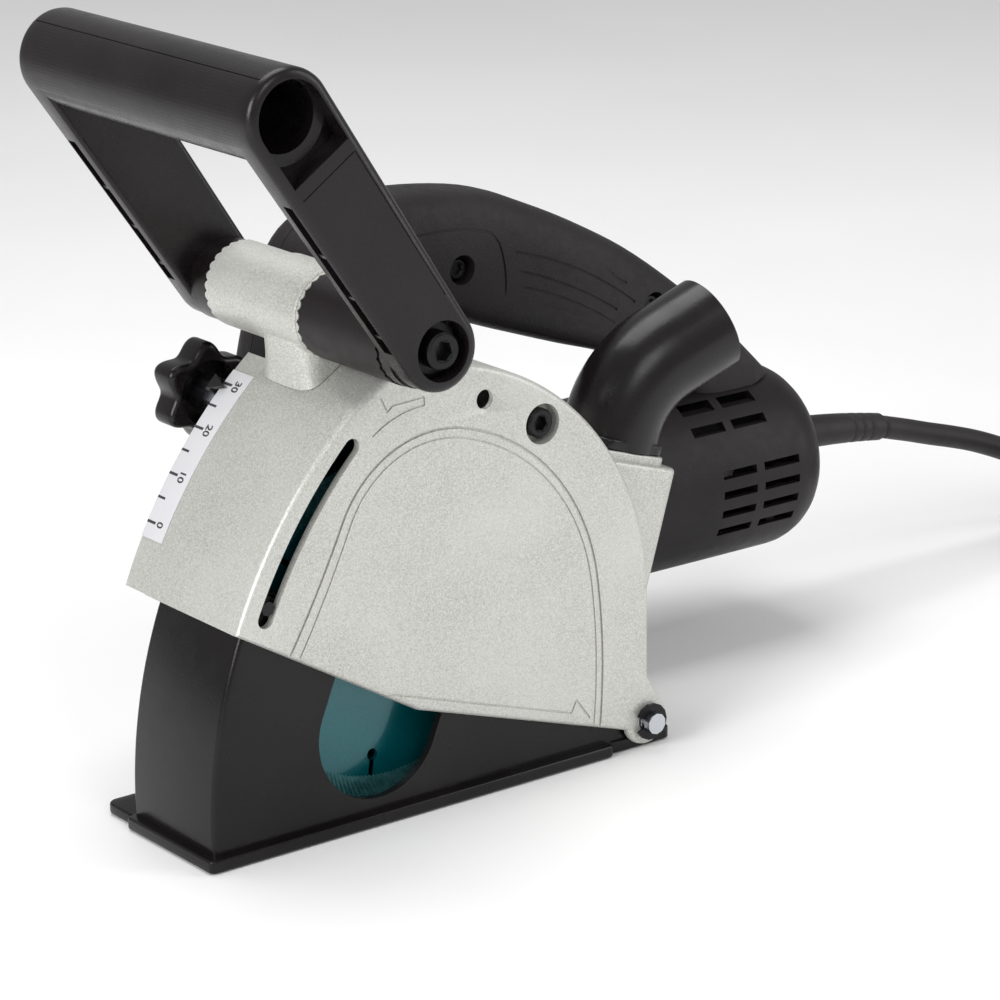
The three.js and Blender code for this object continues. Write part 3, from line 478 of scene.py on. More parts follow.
def make_plug(start, forward):
    across = Vector((-forward.y, forward.x, 0))
    body = turned(
        [(-0.5, 6.2), (3, 6.6), (6, 6.0), (9, 6.9), (12, 6.3), (15, 7.4), (17, 8.4), (21, 10.6), (26, 11.8),
         (34, 11.9), (35.6, 11.4), (36, 10.8)],
        start, forward, 40,
    )
    pins = []
    for side in (-9.3, 9.3):
        foot = start + forward * 35 + across * side
        profile = [(0, 2.3), (12, 2.3), (18.6, 2.2), (19.6, 1.6), (20, 0)]
        pins.append(turned([(-1, 0)] + profile, foot, forward, 16))
    return body, pins


cord_piece, cord_path, plug_forward = make_cord()
plug_body, plug_pins = make_plug(Vector((352.5, 47.6, 32.1)), plug_forward)
finish_piece(plug_body, "plug_body", "base", "rubber", ["plug"])
for i, pin in enumerate(plug_pins):
    finish_piece(pin, f"plug_pin_{i + 1}", "base", "zinc")
cord_piece.data.transform(TO_ROW)
cord_piece.data.materials.append(MATERIALS["rubber"])
cord_piece.data.shade_smooth()
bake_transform(cord_piece)
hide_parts("power_cord", "cord_coil")

# ---- finer outlines ----
LEANING = Matrix.Rotation(LEAN, 4, "Y")
UPRIGHT = Matrix(((1, 0, 0, 0), (0, 0, -1, 0), (0, 1, 0, 0), (0, 0, 0, 1)))


def inset(outline, amount):
    """The outline drawn in by an even distance."""
    points = [Vector(p) for p in outline]
    count = len(points)
    area = sum(points[i - 1].x * points[i].y - points[i].x * points[i - 1].y for i in range(count))
    turn = 1 if area > 0 else -1
    result = []
    for i, point in enumerate(points):
        before = (point - points[i - 1]).normalized()
        after = (points[(i + 1) % count] - point).normalized()
        normal = Vector((-before.y - after.y, before.x + after.x)).normalized()
        spread = max(0.6, Vector((-after.y, after.x)).dot(normal))
        result.append(tuple(point + normal * turn * amount / spread))
    return result


def rounded(outline, low, high, radius, radius_high=None, steps=4):
    """An extruded outline with rounded rims."""
    radius_high = radius if radius_high is None else radius_high
    angles = [math.pi / 2 * i / steps for i in range(steps + 1)]
    rims = [(radius * (1 - math.sin(a)), low + radius * (1 - math.cos(a))) for a in angles]
    rims += [(radius_high * (1 - math.cos(a)), high - radius_high * (1 - math.sin(a))) for a in angles]
    return loft([[(x, y, z) for x, z in inset(outline, amount)] for amount, y in rims])


def column(outline, low, high, radius, matrix=None):
    """An outline of (x, y) points raised from one height to another, with rounded rims."""
    obj = rounded([(x, -y) for x, y in outline], low, high, radius)
    obj.data.transform(UPRIGHT)
    if matrix is not None:
        obj.data.transform(matrix)
    return obj


def soft_rectangle(low, high, radius, steps=6):
    corners = [(high[0], high[1], 0), (low[0], high[1], 90), (low[0], low[1], 180), (high[0], low[1], 270)]
    result = []
    for x, y, start in corners:
        cx = x - math.copysign(radius, x - (low[0] + high[0]) / 2)
        cy = y - math.copysign(radius, y - (low[1] + high[1]) / 2)
        result += arc(cx, cy, radius, start, start + 90, steps)
    return result


def swept(start, heading, arcs, spacing=2.5):
    """A line of arcs that run on smoothly, each a radius and a turn in degrees, left turns positive."""
    points = [start]
    for radius, turn in arcs:
        side = math.copysign(90, turn)
        towards = math.radians(heading + side)
        x = points[-1][0] + radius * math.cos(towards)
        z = points[-1][1] + radius * math.sin(towards)
        steps = max(1, round(radius * math.radians(abs(turn)) / spacing))
        points += arc(x, z, radius, heading - side, heading - side + turn, steps)[1:]
        heading += turn
    return points


def stroke(points, width, low, high):
    """A narrow band of even width along a line of (x, z) points."""
    points = [Vector(p) for p in points]
    last = len(points) - 1
    left, right = [], []
    for i, point in enumerate(points):
        ahead = (points[min(i + 1, last)] - points[max(i - 1, 0)]).normalized()
        side = Vector((-ahead.y, ahead.x)) * width / 2
        left.append(tuple(point + side))
        right.append(tuple(point - side))
    return plate(left + right[::-1], low, high)


def cap_screw(x, z, head, seat, tip, head_height, socket, shank):
    """A socket head screw along Y, its head on the side of the seat away from the tip."""
    sign = 1 if tip > seat else -1
    top = -head_height
    rim = 0.8
    length = abs(tip - seat)
    foot, along = (x, seat, z), (0, sign, 0)
    profile = [(top, 0), (top, head - rim), (top + rim, head), (0, head)]
    profile += [(0, shank), (length, shank), (length, 0)]
    screw = turned(profile, foot, along, 48)
    hexagon = turned([(top - 1, socket), (top + 0.65 * head_height, socket)], foot, along, 6)
    mouth = turned([(top - 0.1, socket + 0.5), (top + 0.5, socket - 0.1)], foot, along, 48)
    return cut(screw, hexagon, mouth)


# ---- guard ----
GUARD_RIGHT, GUARD_SPLIT, GUARD_LEFT, WALL = -32.3, 25.7, 29, 3
FRONT_RADIUS = 192.3
TOP_CENTRE, TOP_RADIUS = (-102.5, 60), 103
COVER_BOLT, EMPTY_HOLE = (-48, 133.3), (-72.9, 146.7)
PIN_HOLE, SCREW_HOLE = 4.3, 3.3
GUIDE_RADIUS, STOP_RADIUS = 183.2, 180.5
STOP = about_pivot(STOP_RADIUS, 45.2)
PANEL_LINES = [
    swept((-163.5, 61.7), 57, [(430, 8), (44.5, -80), (80.5, -67.2), (242, -15.2)]),
    swept((-159.2, 60.4), 57.8, [(425, 8), (40.4, -80), (77.8, -68.2), (234, -15.2)]),
]
TURN_ARROW = [(-117.5, 155.3), (-114.7, 149.9), (-112.5, 151.9), (-99.4, 152.5), (-99.1, 149.6)]
TURN_ARROW_BOW = swept(TURN_ARROW[-1], 180, [(37.5, 36)])
FEED_ARROW = [(-126, 51.5), (-35.8, 22.3), (-33.6, 26.7), (-27.4, 18.3)]


def guard_outline(front=FRONT_RADIUS):
    top = arc(*TOP_CENTRE, TOP_RADIUS, 96, 0, 64)
    lug = arc(0, PIVOT_Z, 9.5, 20, -166, 28)
    return [(-103.5, 39)] + pivot_arc(front, 22, 47.5, 28) + top + [(0.5, 28)] + lug


def guard_cavity():
    top = arc(*TOP_CENTRE, TOP_RADIUS - WALL, 96, 0, 64)
    outline = pivot_arc(FRONT_RADIUS - WALL, -20, 47.5, 40) + top + [(-2.5, 24), (12, 24), (12, -20)]
    return plate(outline, GUARD_RIGHT + WALL, GUARD_SPLIT + 1)


def slot_outline(radius, half, start, end):
    """An arc slot about the pivot with round ends."""
    end_x, end_z = about_pivot(radius, end)
    start_x, start_z = about_pivot(radius, start)
    near = arc(end_x, end_z, half, 180 - end, -end, 10)[1:-1]
    far = arc(start_x, start_z, half, 360 - start, 180 - start, 10)[1:-1]
    return pivot_arc(radius + half, start, end, 24) + near + pivot_arc(radius - half, end, start, 24) + far


def thread_cutter(x, z, radius, depth, start, pitch=1.25):
    """A countersunk hole with thread grooves."""
    profile = [(-2, 0), (-2, radius + 1), (0, radius + 1), (0.6, radius)]
    along = 0.9
    while along < depth:
        profile += [(along, radius), (along + pitch * 0.45, radius + 0.65), (along + pitch * 0.9, radius)]
        along += pitch
    return turned(profile + [(depth + 1, radius), (depth + 1, 0)], (x, start, z), (0, 1, 0), 40)


def guard_cover():
    shell = cut(rounded(guard_outline(), GUARD_RIGHT, GUARD_SPLIT, 2.2, 0.35), guard_cavity())
    duct = join(
        column(soft_rectangle((-50, -26), (-10.5, 16), 5), 38, 103, 1.6, LEANING),
        column(soft_rectangle((-46.5, -22.5), (-15, 12.5), 4), 101, 106, 0.8, LEANING),
    )
    duct = cut(duct, plate(guard_outline(FRONT_RADIUS - GAP), GUARD_RIGHT + GAP, GUARD_SPLIT + 10))
    cover = join(shell, duct, rod_y(*COVER_BOLT, 9, GUARD_RIGHT + 1, -8))
    face = GUARD_RIGHT
    outer, inner = PANEL_LINES
    grooves = [stroke(outer, 1.0, face - 1, face + 0.8), stroke(inner, 0.7, face - 1, face + 0.45)]
    arrow_lines = [TURN_ARROW_BOW]
    for corners in (FEED_ARROW, TURN_ARROW):
        arrow_lines += [corners[i:i + 2] for i in range(len(corners) - 1)]
    grooves += [stroke(line, 0.8, face - 1, face + 0.5) for line in arrow_lines]
    return cut(
        cover,
        column(soft_rectangle((-43.5, -19), (-18, 9), 3), 60, 112, 0.05, LEANING),
        plate(slot_outline(GUIDE_RADIUS, 3.1, 24.4, 44.9), face - 5, face + WALL + 2),
        rod_y(*COVER_BOLT, 7.4, face - 5, face + 6),
        rod_y(*COVER_BOLT, SCREW_HOLE, face, 0),
        thread_cutter(*EMPTY_HOLE, 3.5, 9, face),
        rod_y(0, PIVOT_Z, PIN_HOLE, face - 5, 60),
        *grooves,
    )


def guard_left():
    body = rounded(guard_outline(191), GUARD_SPLIT + GAP, GUARD_LEFT, 0.35, 1)
    flange = rounded(band(191, 188.6, 22, 50, 40), GUARD_SPLIT + GAP, 40, 0.3)
    return cut(
        join(body, flange, rod_y(*COVER_BOLT, 8, -8 + GAP, GUARD_SPLIT + 1)),
        rod_y(*SPINDLE, 20.3, 20, 40, 64),
        plate(slot_outline(STOP_RADIUS, 3.5, 28.2, 46.2), 20, 35),
        rod_y(*COVER_BOLT, SCREW_HOLE, -20, 40),
        rod_y(0, PIVOT_Z, PIN_HOLE, 20, 60),
    )


finish_piece(guard_cover(), "cover_casting", "head", "silver", ["guard_cover"])
finish_piece(guard_left(), "left_casting", "head", "silver", ["guard_left"])
cover_screw = cap_screw(*COVER_BOLT, 5.4, GUARD_RIGHT + 5.7, 20, 5, 2.9, 3)
finish_piece(cover_screw, "cover_screw", "head", "oxide", ["cover_bolt"])


# ---- depth scale ----
SCALE_RADIUS, SCALE_START, SCALE_END, SCALE_REACH = 191.72, 29.2, 45.75, 30
DIGIT_TURN = math.radians(-90)


def scale_strip():
    return rounded(band(191.7, 191.3, 27.5, 47.5, 48), 26.6, 39.4, 0.1)


def on_strip(angle, y):
    x, z = about_pivot(SCALE_RADIUS, angle)
    return Vector((x, y, z))


def strip_frame(angle):
    a = math.radians(angle)
    right, up = Vector((0, -1, 0)), Vector((math.sin(a), 0, math.cos(a)))
    return Matrix([[right[i], up[i], right.cross(up)[i]] for i in range(3)]).to_4x4()


def scale_angle(value):
    return SCALE_START + value * (SCALE_END - SCALE_START) / SCALE_REACH


def scale_ticks():
    bm = bmesh.new()
    for value in range(0, SCALE_REACH + 1, 5):
        length, half = (5.0, 0.5) if value % 10 == 0 else (4.4, 0.45)
        angle = scale_angle(value)
        place = Matrix.Translation(on_strip(angle, 39.2 - length / 2)) @ strip_frame(angle)
        part = bmesh.ops.create_cube(bm, size=1)["verts"]
        bmesh.ops.transform(bm, matrix=place @ Matrix.Diagonal((length, 2 * half, 0.07, 1)), verts=part)
    return to_object("scale_ticks", bm)


def scale_digits(text):
    curve = bpy.data.curves.new("digits", "FONT")
    curve.body, curve.size, curve.extrude, curve.offset = text, 4.7, 0.03, 0.1
    curve.align_x, curve.align_y = "CENTER", "CENTER"
    holder = bpy.data.objects.new("digits", curve)
    bpy.context.scene.collection.objects.link(holder)
    depsgraph = bpy.context.evaluated_depsgraph_get()
    mesh = bpy.data.meshes.new_from_object(holder.evaluated_get(depsgraph))
    bpy.data.objects.remove(holder)
    angle = scale_angle(int(text))
    turn = Matrix.Rotation(DIGIT_TURN, 4, "Z")
    mesh.transform(Matrix.Translation(on_strip(angle, 31.6)) @ strip_frame(angle) @ turn)
    digits = bpy.data.objects.new(f"scale_{text}", mesh)
    bpy.context.scene.collection.objects.link(digits)
    return digits


finish_piece(scale_strip(), "scale_strip", "head", "label", ["scale_label"])
finish_piece(scale_ticks(), "scale_ticks", "head", "ink")
for text in ("0", "10", "20", "30"):
    finish_piece(scale_digits(text), f"scale_digits_{text}", "head", "ink")


def pointer():
    """The black wedge that rides on the stop bolt and points at the scale."""
    def spoke(r, angle, y):
        x, z = about_pivot(r, 45.2 + angle)
        return (x, y, z)

    def prism(corners, radii):
        return loft([[spoke(r, a, y) for a, y in corners] for r in radii])

    wedge = prism([(-0.95, 43.4), (0.95, 43.4), (0, 35.3)], (192.5, 194))
    stem = prism([(-0.85, 41), (0.85, 41), (0.85, 43.4), (-0.85, 43.4)], (186, 193))
    section = [(0, 6.8), (0, 8), (0.3, 8.2), (1.7, 8.2), (2, 8), (2, 6.8), (0, 6.8)]
    ring = turned(section, (STOP[0], 41, STOP[1]), (0, 1, 0), 64)
    return join(wedge, stem, ring)


finish_piece(pointer(), "scale_wedge", "stop_slide", "plastic", ["scale_pointer"])


# ---- grip base and spacer ----
STEPS_PER_TOOTH = 6


def scallop(i):
    return 1 - abs(math.sin(math.pi * i / STEPS_PER_TOOTH))


def toothed_tube(x, z, radius, bore, low, high, low_wave, high_wave, teeth=26):
    """A tube along Y whose ends carry a ring of rounded teeth."""
    spokes = circle_of(Vector((1, 0, 0)), Vector((0, 0, 1)), teeth * STEPS_PER_TOOTH)

    def ring(r, y, wave):
        return [Vector((x, y + wave * scallop(i), z)) + r * spoke for i, spoke in enumerate(spokes)]

    outside = [ring(radius, low, low_wave), ring(radius, high, high_wave)]
    inside = [ring(bore, high, high_wave), ring(bore, low, low_wave)]
    return loft(outside + inside, "tube", closed=True)


def neck():
    """The foot between the tube and the guard, flaring into the guard's top."""
    levels = [
        (146, 12.5, 24, 19), (152, 12.5, 20, 17.2), (157, 12.8, 17.4, 15.8),
        (163, 13.2, 15.8, 14.8), (170, 13.8, 14.8, 14.4), (179, 14.2, 14.4, 14.4),
    ]
    rings = []
    for z, front, rear, half_y in levels:
        ring = []
        for k in range(48):
            a = 2 * math.pi * k / 48
            across, deep = [math.copysign(abs(v) ** 0.5, v) for v in (math.cos(a), math.sin(a))]
            ring.append((GRIP[0] + (rear if across > 0 else front) * across, 8.6 + half_y * deep, z))
        rings.append(ring)
    return loft(rings, "neck")


def raised_guard():
    top = arc(*TOP_CENTRE, TOP_RADIUS + GAP, 96, 0, 40)
    return [(-60, 60)] + pivot_arc(FRONT_RADIUS + GAP, 22, 47.5, 24) + top


def grip_base():
    tube_part = toothed_tube(*GRIP, 15.6, PIN_HOLE, -6.3, 51.5, 1.3, -1.3)
    section = [(0, 15), (0, 15.9), (0.4, 16.3), (26.6, 16.3), (27, 15.9), (27, 15)]
    ring = turned(section, (GRIP[0], -4.6, GRIP[1]), (0, 1, 0), 80)
    foot = cut(neck(), plate(raised_guard(), -60, 60), rod_y(*GRIP, 8, -20, 60, 64))
    return join(tube_part, cut(ring, rod_y(*GRIP, 12, -20, 60)), foot)


finish_piece(grip_base(), "grip_mount", "head", "silver", ["grip_base"])
distance_tube = toothed_tube(*GRIP, 15.4, PIN_HOLE, -51.7, -6.6, 1.3, 1.3)
finish_piece(distance_tube, "grip_distance_tube", "head", "matt", ["grip_spacer"])

# ---- front grip ----
ALONG = (Vector(GRIP) - Vector(BAR)).normalized()
AHEAD = Vector((ALONG.y, -ALONG.x))
ARM_ANGLE = math.degrees(math.atan2(-ALONG.y, -ALONG.x))
GRIP_RIGHT, GRIP_LEFT, ARM = -68, 73.5, 12
BAR_RADIUS, EYE_RADIUS = 16.4, 14.5


def on_arm(along, ahead):
    point = Vector(BAR) + ALONG * along + AHEAD * ahead
    return (point.x, point.y)


def grip_arm(low, high, outer_low):
    """One arm with its bar pocket, side grooves and ribbed edge channel; outer_low: its outside is at low."""
    outline = arc(*BAR, BAR_RADIUS, ARM_ANGLE - 90, ARM_ANGLE + 90, 40)
    outline += arc(*GRIP, EYE_RADIUS, ARM_ANGLE + 90, ARM_ANGLE + 270, 36)
    rims = (3, 1.6) if outer_low else (1.6, 3)
    body = rounded(outline, low, high, *rims)

    def outer(depth):
        return (low - 1, low + depth) if outer_low else (high - depth, high + 1)

    pocket = arc(*BAR, 12.7, ARM_ANGLE - 90, ARM_ANGLE + 90, 32) + [on_arm(19.5, 12.6), on_arm(19.5, -12.6)]
    centre = (low + 5.2) if outer_low else (high - 5.2)
    channel = [on_arm(25, 9), on_arm(25, 20), on_arm(92, 20), on_arm(92, 8.5)]
    body = cut(
        body,
        plate(pocket, *outer(9)),
        stroke([on_arm(24.5, 12.4), on_arm(24.5, -12)], 0.5, *outer(0.35)),
        stroke([on_arm(24.5, -12.2), on_arm(88, -11.6)], 0.5, *outer(0.35)),
        plate(channel, centre - 2.4, centre + 2.4),
    )
    taper = (BAR_RADIUS - EYE_RADIUS) / (Vector(GRIP) - Vector(BAR)).length
    ribs = []
    for along in (47, 66, 84):
        edge = BAR_RADIUS - taper * along - 0.6
        rib = [on_arm(along, 8), on_arm(along, edge), on_arm(along + 1.4, edge), on_arm(along + 1.4, 8)]
        ribs.append(plate(rib, centre - 2.6, centre + 2.6))
    return join(body, *ribs)


def front_grip():
    right = grip_arm(GRIP_RIGHT, GRIP_RIGHT + ARM, True)
    left = grip_arm(GRIP_LEFT - ARM, GRIP_LEFT, False)
    bar = rod_y(*BAR, BAR_RADIUS, GRIP_RIGHT + 6, GRIP_LEFT - 6, 96)
    seam_out = Vector((math.cos(math.radians(126)), math.sin(math.radians(126))))
    seam = [tuple(Vector(BAR) + seam_out * r) for r in (16.05, 17)]
    bosses = [
        rod_y(*GRIP, 15, 51.8, GRIP_LEFT - ARM + 1, 64),
        rod_y(*GRIP, 15, GRIP_RIGHT + ARM - 1, -52, 64),
    ]
    recess = [(-1, 10.9), (0.6, 10.3), (8, 10.3)]
    return cut(
        join(right, left, bar, *bosses),
        stroke(seam, 0.4, -65, 70),
        rod_y(*BAR, 12.3, -90, 90, 80),
        rod_y(*GRIP, PIN_HOLE, -90, 90),
        turned(recess, (GRIP[0], GRIP_RIGHT, GRIP[1]), (0, 1, 0), 64),
        turned(recess, (GRIP[0], GRIP_LEFT, GRIP[1]), (0, -1, 0), 64),
    )


finish_piece(front_grip(), "grip_bow", "front_handle", "plastic", ["front_grip"])
WASHER = [(0, 4.3), (0, 9), (0.3, 9.2), (1.5, 9.2), (1.8, 8.9), (1.8, 4.3), (0, 4.3)]
for side, name, face in ((-1, "right", GRIP_RIGHT), (1, "left", GRIP_LEFT)):
    floor = face - side * 8
    washer = turned(WASHER, (GRIP[0], floor + side * GAP, GRIP[1]), (0, side, 0), 64)
    finish_piece(washer, f"washer_{name}", "front_handle", "oxide", [f"grip_washer_{name}"])
    screw = cap_screw(*GRIP, 6.5, floor + side * 2.4, 8 if side < 0 else 22, 6, 3.6, 4)
    finish_piece(screw, f"grip_screw_{name}", "front_handle", "oxide", [f"grip_bolt_{name}"])

# ---- motor housing ----
def along_motor(profile, segments=112):
    return turned(profile, (0, MOTOR_Y, AXIS_Z), (1, 0, 0), segments)


def motor_shell():
    outer = along_motor([
        (-48, 0), (-48, 33.9), (-47.4, 34.5), (-20, 34.5), (5, 34.8), (25, 35.8), (45, 36.9), (70, 37.4),
        (105, 37.5), (128, 37.5), (131.5, 37.3), (134.5, 36.6), (137.5, 35.5), (140.2, 33.9), (142.6, 31.8),
        (144.6, 29.4), (146, 27), (146.8, 24.6), (146.8, 0),
    ])
    inner = along_motor([(-60, 0), (-60, 31.6), (20, 31.8), (45, 33.8), (110, 34.6), (130, 34.4), (137, 32.4),
                         (142, 28), (144, 22), (144, 0)])
    body = cut(outer, inner)
    bulkhead = cut(along_motor([(117, 0), (117, 36), (121, 36), (121, 0)]),
                   along_motor([(110, 0), (110, 10.3), (130, 10.3), (130, 0)]),
                   block((110, MOTOR_Y - 12, AXIS_Z - 33), (130, MOTOR_Y + 12, AXIS_Z - 18)))
    vents = []
    for z in (49, 57, 65, 73):
        for low, high in ((20, 36), (94, 110)):
            vents.append(block((88, low, z - 1.6), (105, high, z + 1.6)))
            vents.append(block((109, low, z - 1.6), (127, high, z + 1.6)))
    for z in (90, 97):
        vents += [block((79, 30, z - 1.6), (95, 52, z + 1.6)), block((99, 30, z - 1.6), (116, 52, z + 1.6))]
    seam = along_motor([(-40, 60), (-39.3, 60), (-39.3, 34.1), (-40, 34.1), (-40, 60)])
    exit_hole = rod((130, MOTOR_Y, 69), (190, MOTOR_Y, 69), 8)
    fitted = meet(bulkhead, along_motor([(100, 0), (100, 35), (130, 35), (130, 0)]))
    return cut(join(body, fitted), *vents, seam, exit_hole)


finish_piece(motor_shell(), "motor_shell", "head", "matt", ["motor_housing"])

# ---- D-handle ----
# Stations from the head round to the motor's rear: x and z on the outer side, then x and z on the inner side.
HANDLE = [
    (-107, 90, -62, 90), (-108, 108, -62, 108), (-108.5, 124, -62, 124), (-106, 146, -61, 138),
    (-98, 172, -58, 148), (-86, 191, -51, 153), (-66, 199, -42, 154.5), (-40, 200, -28, 151.5),
    (-7, 195.5, -8, 143.5), (17, 186.5, 10, 137), (42, 174.5, 30, 130), (67, 160, 50, 123.5),
    (96, 138, 72, 115), (117, 119, 86, 106), (133, 103.5, 92, 92),
]
HANDLE_SCREWS = [(-22, 169), (70, 140), (-84, 128)]
HALF_WIDTH = 17
GRIP_LINES = [
    swept((-52, 184.1), 8.6, [(108, -20.7), (12, -60.7), (49, -22.3), (8.8, -57), (65, -10.4)]),
    swept((1.4, 178.9), -9.1, [(112, -23.6), (6.7, -32), (14.5, 34.5), (64, 3.6)]),
    swept((2.4, 172.1), -15.1, [(162, -22.9)]),
    swept((4.5, 164.5), -18.4, [(198, -15)]),
    swept((6, 158.1), -17.2, [(161, -17.4)]),
    swept((6.4, 152.7), -17.3, [(176, -13.8)]),
]


def handle_form(shrink, steps=5, count=36):
    """The whole handle's solid shape, drawn in on all sides by the shrink."""
    outer = catmull([Vector(station[:2]) for station in HANDLE], steps)
    inner = catmull([Vector(station[2:]) for station in HANDLE], steps)
    rings = []
    for top, low in zip(outer, inner):
        middle, reach = (top + low) / 2, (top - low) / 2
        reach = reach.normalized() * (reach.length - shrink)
        ring = []
        for k in range(count):
            a = 2 * math.pi * k / count
            across, up = [math.copysign(abs(v) ** 0.62, v) for v in (math.cos(a), math.sin(a))]
            y = MOTOR_Y + (HALF_WIDTH - shrink) * across
            ring.append((middle.x + reach.x * up, y, middle.y + reach.y * up))
        rings.append(ring)
    return loft(rings, "handle")


def handle_half(side):
    clear = [
        along_motor([(-47.5, 0), (-47.5, 34.8), (5, 34.8), (40, 36.8), (110, 37.8), (131, 37.8), (138, 35.9),
                     (147, 24), (147, 0)]),
        rod((-105, MOTOR_Y, AXIS_Z), (-56, MOTOR_Y, AXIS_Z), 26.8, 34.3),
        rod((-57, MOTOR_Y, AXIS_Z), (-48.3, MOTOR_Y, AXIS_Z), 35.6),
        block((-53.4, 58, 130), (-9.6, 72, 162)),
    ]
    shell = cut(handle_form(0), handle_form(2.6), *clear)
    low, high = (MOTOR_Y - 40, MOTOR_Y - GAP / 2) if side < 0 else (MOTOR_Y + GAP / 2, MOTOR_Y + 40)
    half = meet(shell, block((-300, low, 0), (300, high, 300)))
    reach = (MOTOR_Y - 15.4, high) if side < 0 else (low, MOTOR_Y + 15.4)
    posts = [rod_y(x, z, 7.4, *reach) for x, z in HANDLE_SCREWS]
    half = join(half, *posts)
    holes = [rod_y(x, z, 2.3, MOTOR_Y - 30, MOTOR_Y + 11) for x, z in HANDLE_SCREWS]
    recess = [(-6, 6.4), (0, 6.2), (0.5, 5.6), (7.8, 5.4)]
    holes += [turned(recess, (x, MOTOR_Y - 17.2, z), (0, 1, 0), 48) for x, z in HANDLE_SCREWS]
    if side > 0:
        holes.append(rod_y(-70, 172, 4.3, MOTOR_Y + 5, MOTOR_Y + 30))
    face = MOTOR_Y + side * HALF_WIDTH
    lows = (face - 2, face + 0.55) if side < 0 else (face - 0.55, face + 2)
    grooves = [stroke(line, 0.9, *lows) for line in GRIP_LINES]
    return cut(half, *holes, *grooves)


finish_piece(handle_half(-1), "handle_half_right", "head", "grip", ["handle_shell_right"])
finish_piece(handle_half(1), "handle_half_left", "head", "grip", ["handle_shell_left"])
for i, (x, z) in enumerate(HANDLE_SCREWS):
    screw = cap_screw(x, z, 4.2, MOTOR_Y - 11.3, MOTOR_Y + 10, 2.4, 2.1, 2)
    finish_piece(screw, f"shell_screw_{i + 1}", "head", "oxide", [f"handle_screw_{i + 1}"])

# ---- dust nozzle ----
NOZZLE_TURN, NOZZLE_PITCH = math.radians(-6), math.radians(22)


def nozzle():
    """The dust elbow: up the leaning duct, round a bend and out to the rear."""
    level = math.cos(NOZZLE_PITCH)
    out = Vector((level * math.cos(NOZZLE_TURN), level * math.sin(NOZZLE_TURN), math.sin(NOZZLE_PITCH)))
    start, before, elbow = [LEANING @ Vector((-29.5, -5, up)) for up in (106.3, 111.6, 130.6)]
    after, mouth = elbow + out * 19, elbow + out * 41.5
    path = [start.lerp(before, i / 2) for i in range(2)]
    path += [before.lerp(elbow, i / 14).lerp(elbow.lerp(after, i / 14), i / 14) for i in range(15)]
    path += [after.lerp(mouth, i / 12) for i in range(1, 12)] + [mouth - out * 0.5, mouth]
    count = len(path)
    outer = [18] * count
    outer[-1] = 17.3
    body = tube(path, outer, 72, "nozzle")
    collar = column(soft_rectangle((-45.5, -22), (-15.5, 12), 5), 106.3, 110, 0.7, LEANING)
    inner_path = [start - (before - start) * 2] + path[1:] + [mouth + out * 4]
    hollow = tube(inner_path, 15.6, 64, "hollow")
    return cut(join(body, collar), hollow)


finish_piece(nozzle(), "nozzle_elbow", "head", "gloss", ["dust_nozzle"], 40)


# ---- star knob and strain relief ----


def star_knob():
    outline = []
    for i in range(144):
        a = 2 * math.pi * i / 144
        radius = 16.3 + 2.2 * math.cos(6 * (a - 0.5))
        outline.append((STOP[0] + radius * math.cos(a), STOP[1] + radius * math.sin(a)))
    body = rounded(outline, 58.5, 71.5, 2.4, 3, 5)
    hollow = rod_y(*STOP, 12, 50, 65.7)
    ring = turned([(0, 9), (2, 9.6), (2, 8.2), (0, 7.8), (0, 9)], (STOP[0], 70.2, STOP[1]), (0, 1, 0), 72)
    return cut(body, hollow, rod_y(*STOP, SCREW_HOLE, 60, 69.4), ring)


finish_piece(star_knob(), "stop_knob", "stop_knob", "plastic", ["star_knob"], 40)


def relief():
    """The tapered sleeve that bends down with the cord, with three grooves near its tip."""
    last = 60
    path = [Vector((144.2 + 59.8 * t / last, MOTOR_Y, 69 - 6 * (t / last) ** 1.8)) for t in range(last + 1)]
    radii = []
    for t in range(last + 1):
        groove = 0.5 if t in (42, 47, 52, last) else 0
        radii.append(7.3 - 1.7 * t / last - groove)
    body = tube(path, radii, 36, "relief")
    bore = [path[0] - Vector((3, 0, 0))] + path[1:-1] + [path[-1] + Vector((1.5, 0, -0.4))]
    return cut(body, tube(bore, 5.0, 24, "bore"))


finish_piece(relief(), "cord_sleeve", "head", "rubber", ["strain_relief"], 45)


# ---- base ----
def base_shell():
    front = pivot_arc(187.6, -3.2, 27.5, 64)
    ear = arc(0, PIVOT_Z, 9, 116, -90, 32)
    hollow = pivot_arc(184.6, -14, 40, 64) + [(30, 120), (30, -40)]
    return cut(rounded(front + ear, -27.8, 23, 2.2, 1.2, 5), plate(hollow, -24.8, 20))


def arbor_window():
    x, z, radius = -118, 34.5, 25.4
    lean = math.atan2(SPINDLE[1] - z, SPINDLE[0] - x)
    tilt = math.degrees(lean)
    bottom = arc(x, z, radius, tilt - 90, tilt - 270, 48)
    rise = (90 * math.cos(lean), 90 * math.sin(lean))
    top = [(px + rise[0], pz + rise[1]) for px, pz in (bottom[-1], bottom[0])]
    return plate(bottom + top, -33.4, 25)


def base_casting():
    sole = column(soft_rectangle((BASE_FRONT, BASE_RIGHT), (-15, 23), 2), 0, 4.5, 0.8)
    tail = column(soft_rectangle((-16, -28.7), (14, 25.4), 3), 0, 4.5, 0.6)
    skid = column(soft_rectangle((-188.5, 22), (-15, 41), 4), 0, 4.1, 0.9)
    guide = about_pivot(GUIDE_RADIUS, 25.6)
    return cut(
        join(sole, tail, skid, base_shell()),
        block((-300, -60, -20), (60, 60, 0)),
        arbor_window(),
        block((-182, -22, -5), (-42, 17.5, 6)),
        rod_y(0, PIVOT_Z, PIN_HOLE, -40, 40),
        rod_y(*guide, 2.3, -30, -20),
    )


finish_piece(base_casting(), "base_casting", "base", "base", ["base_frame"])


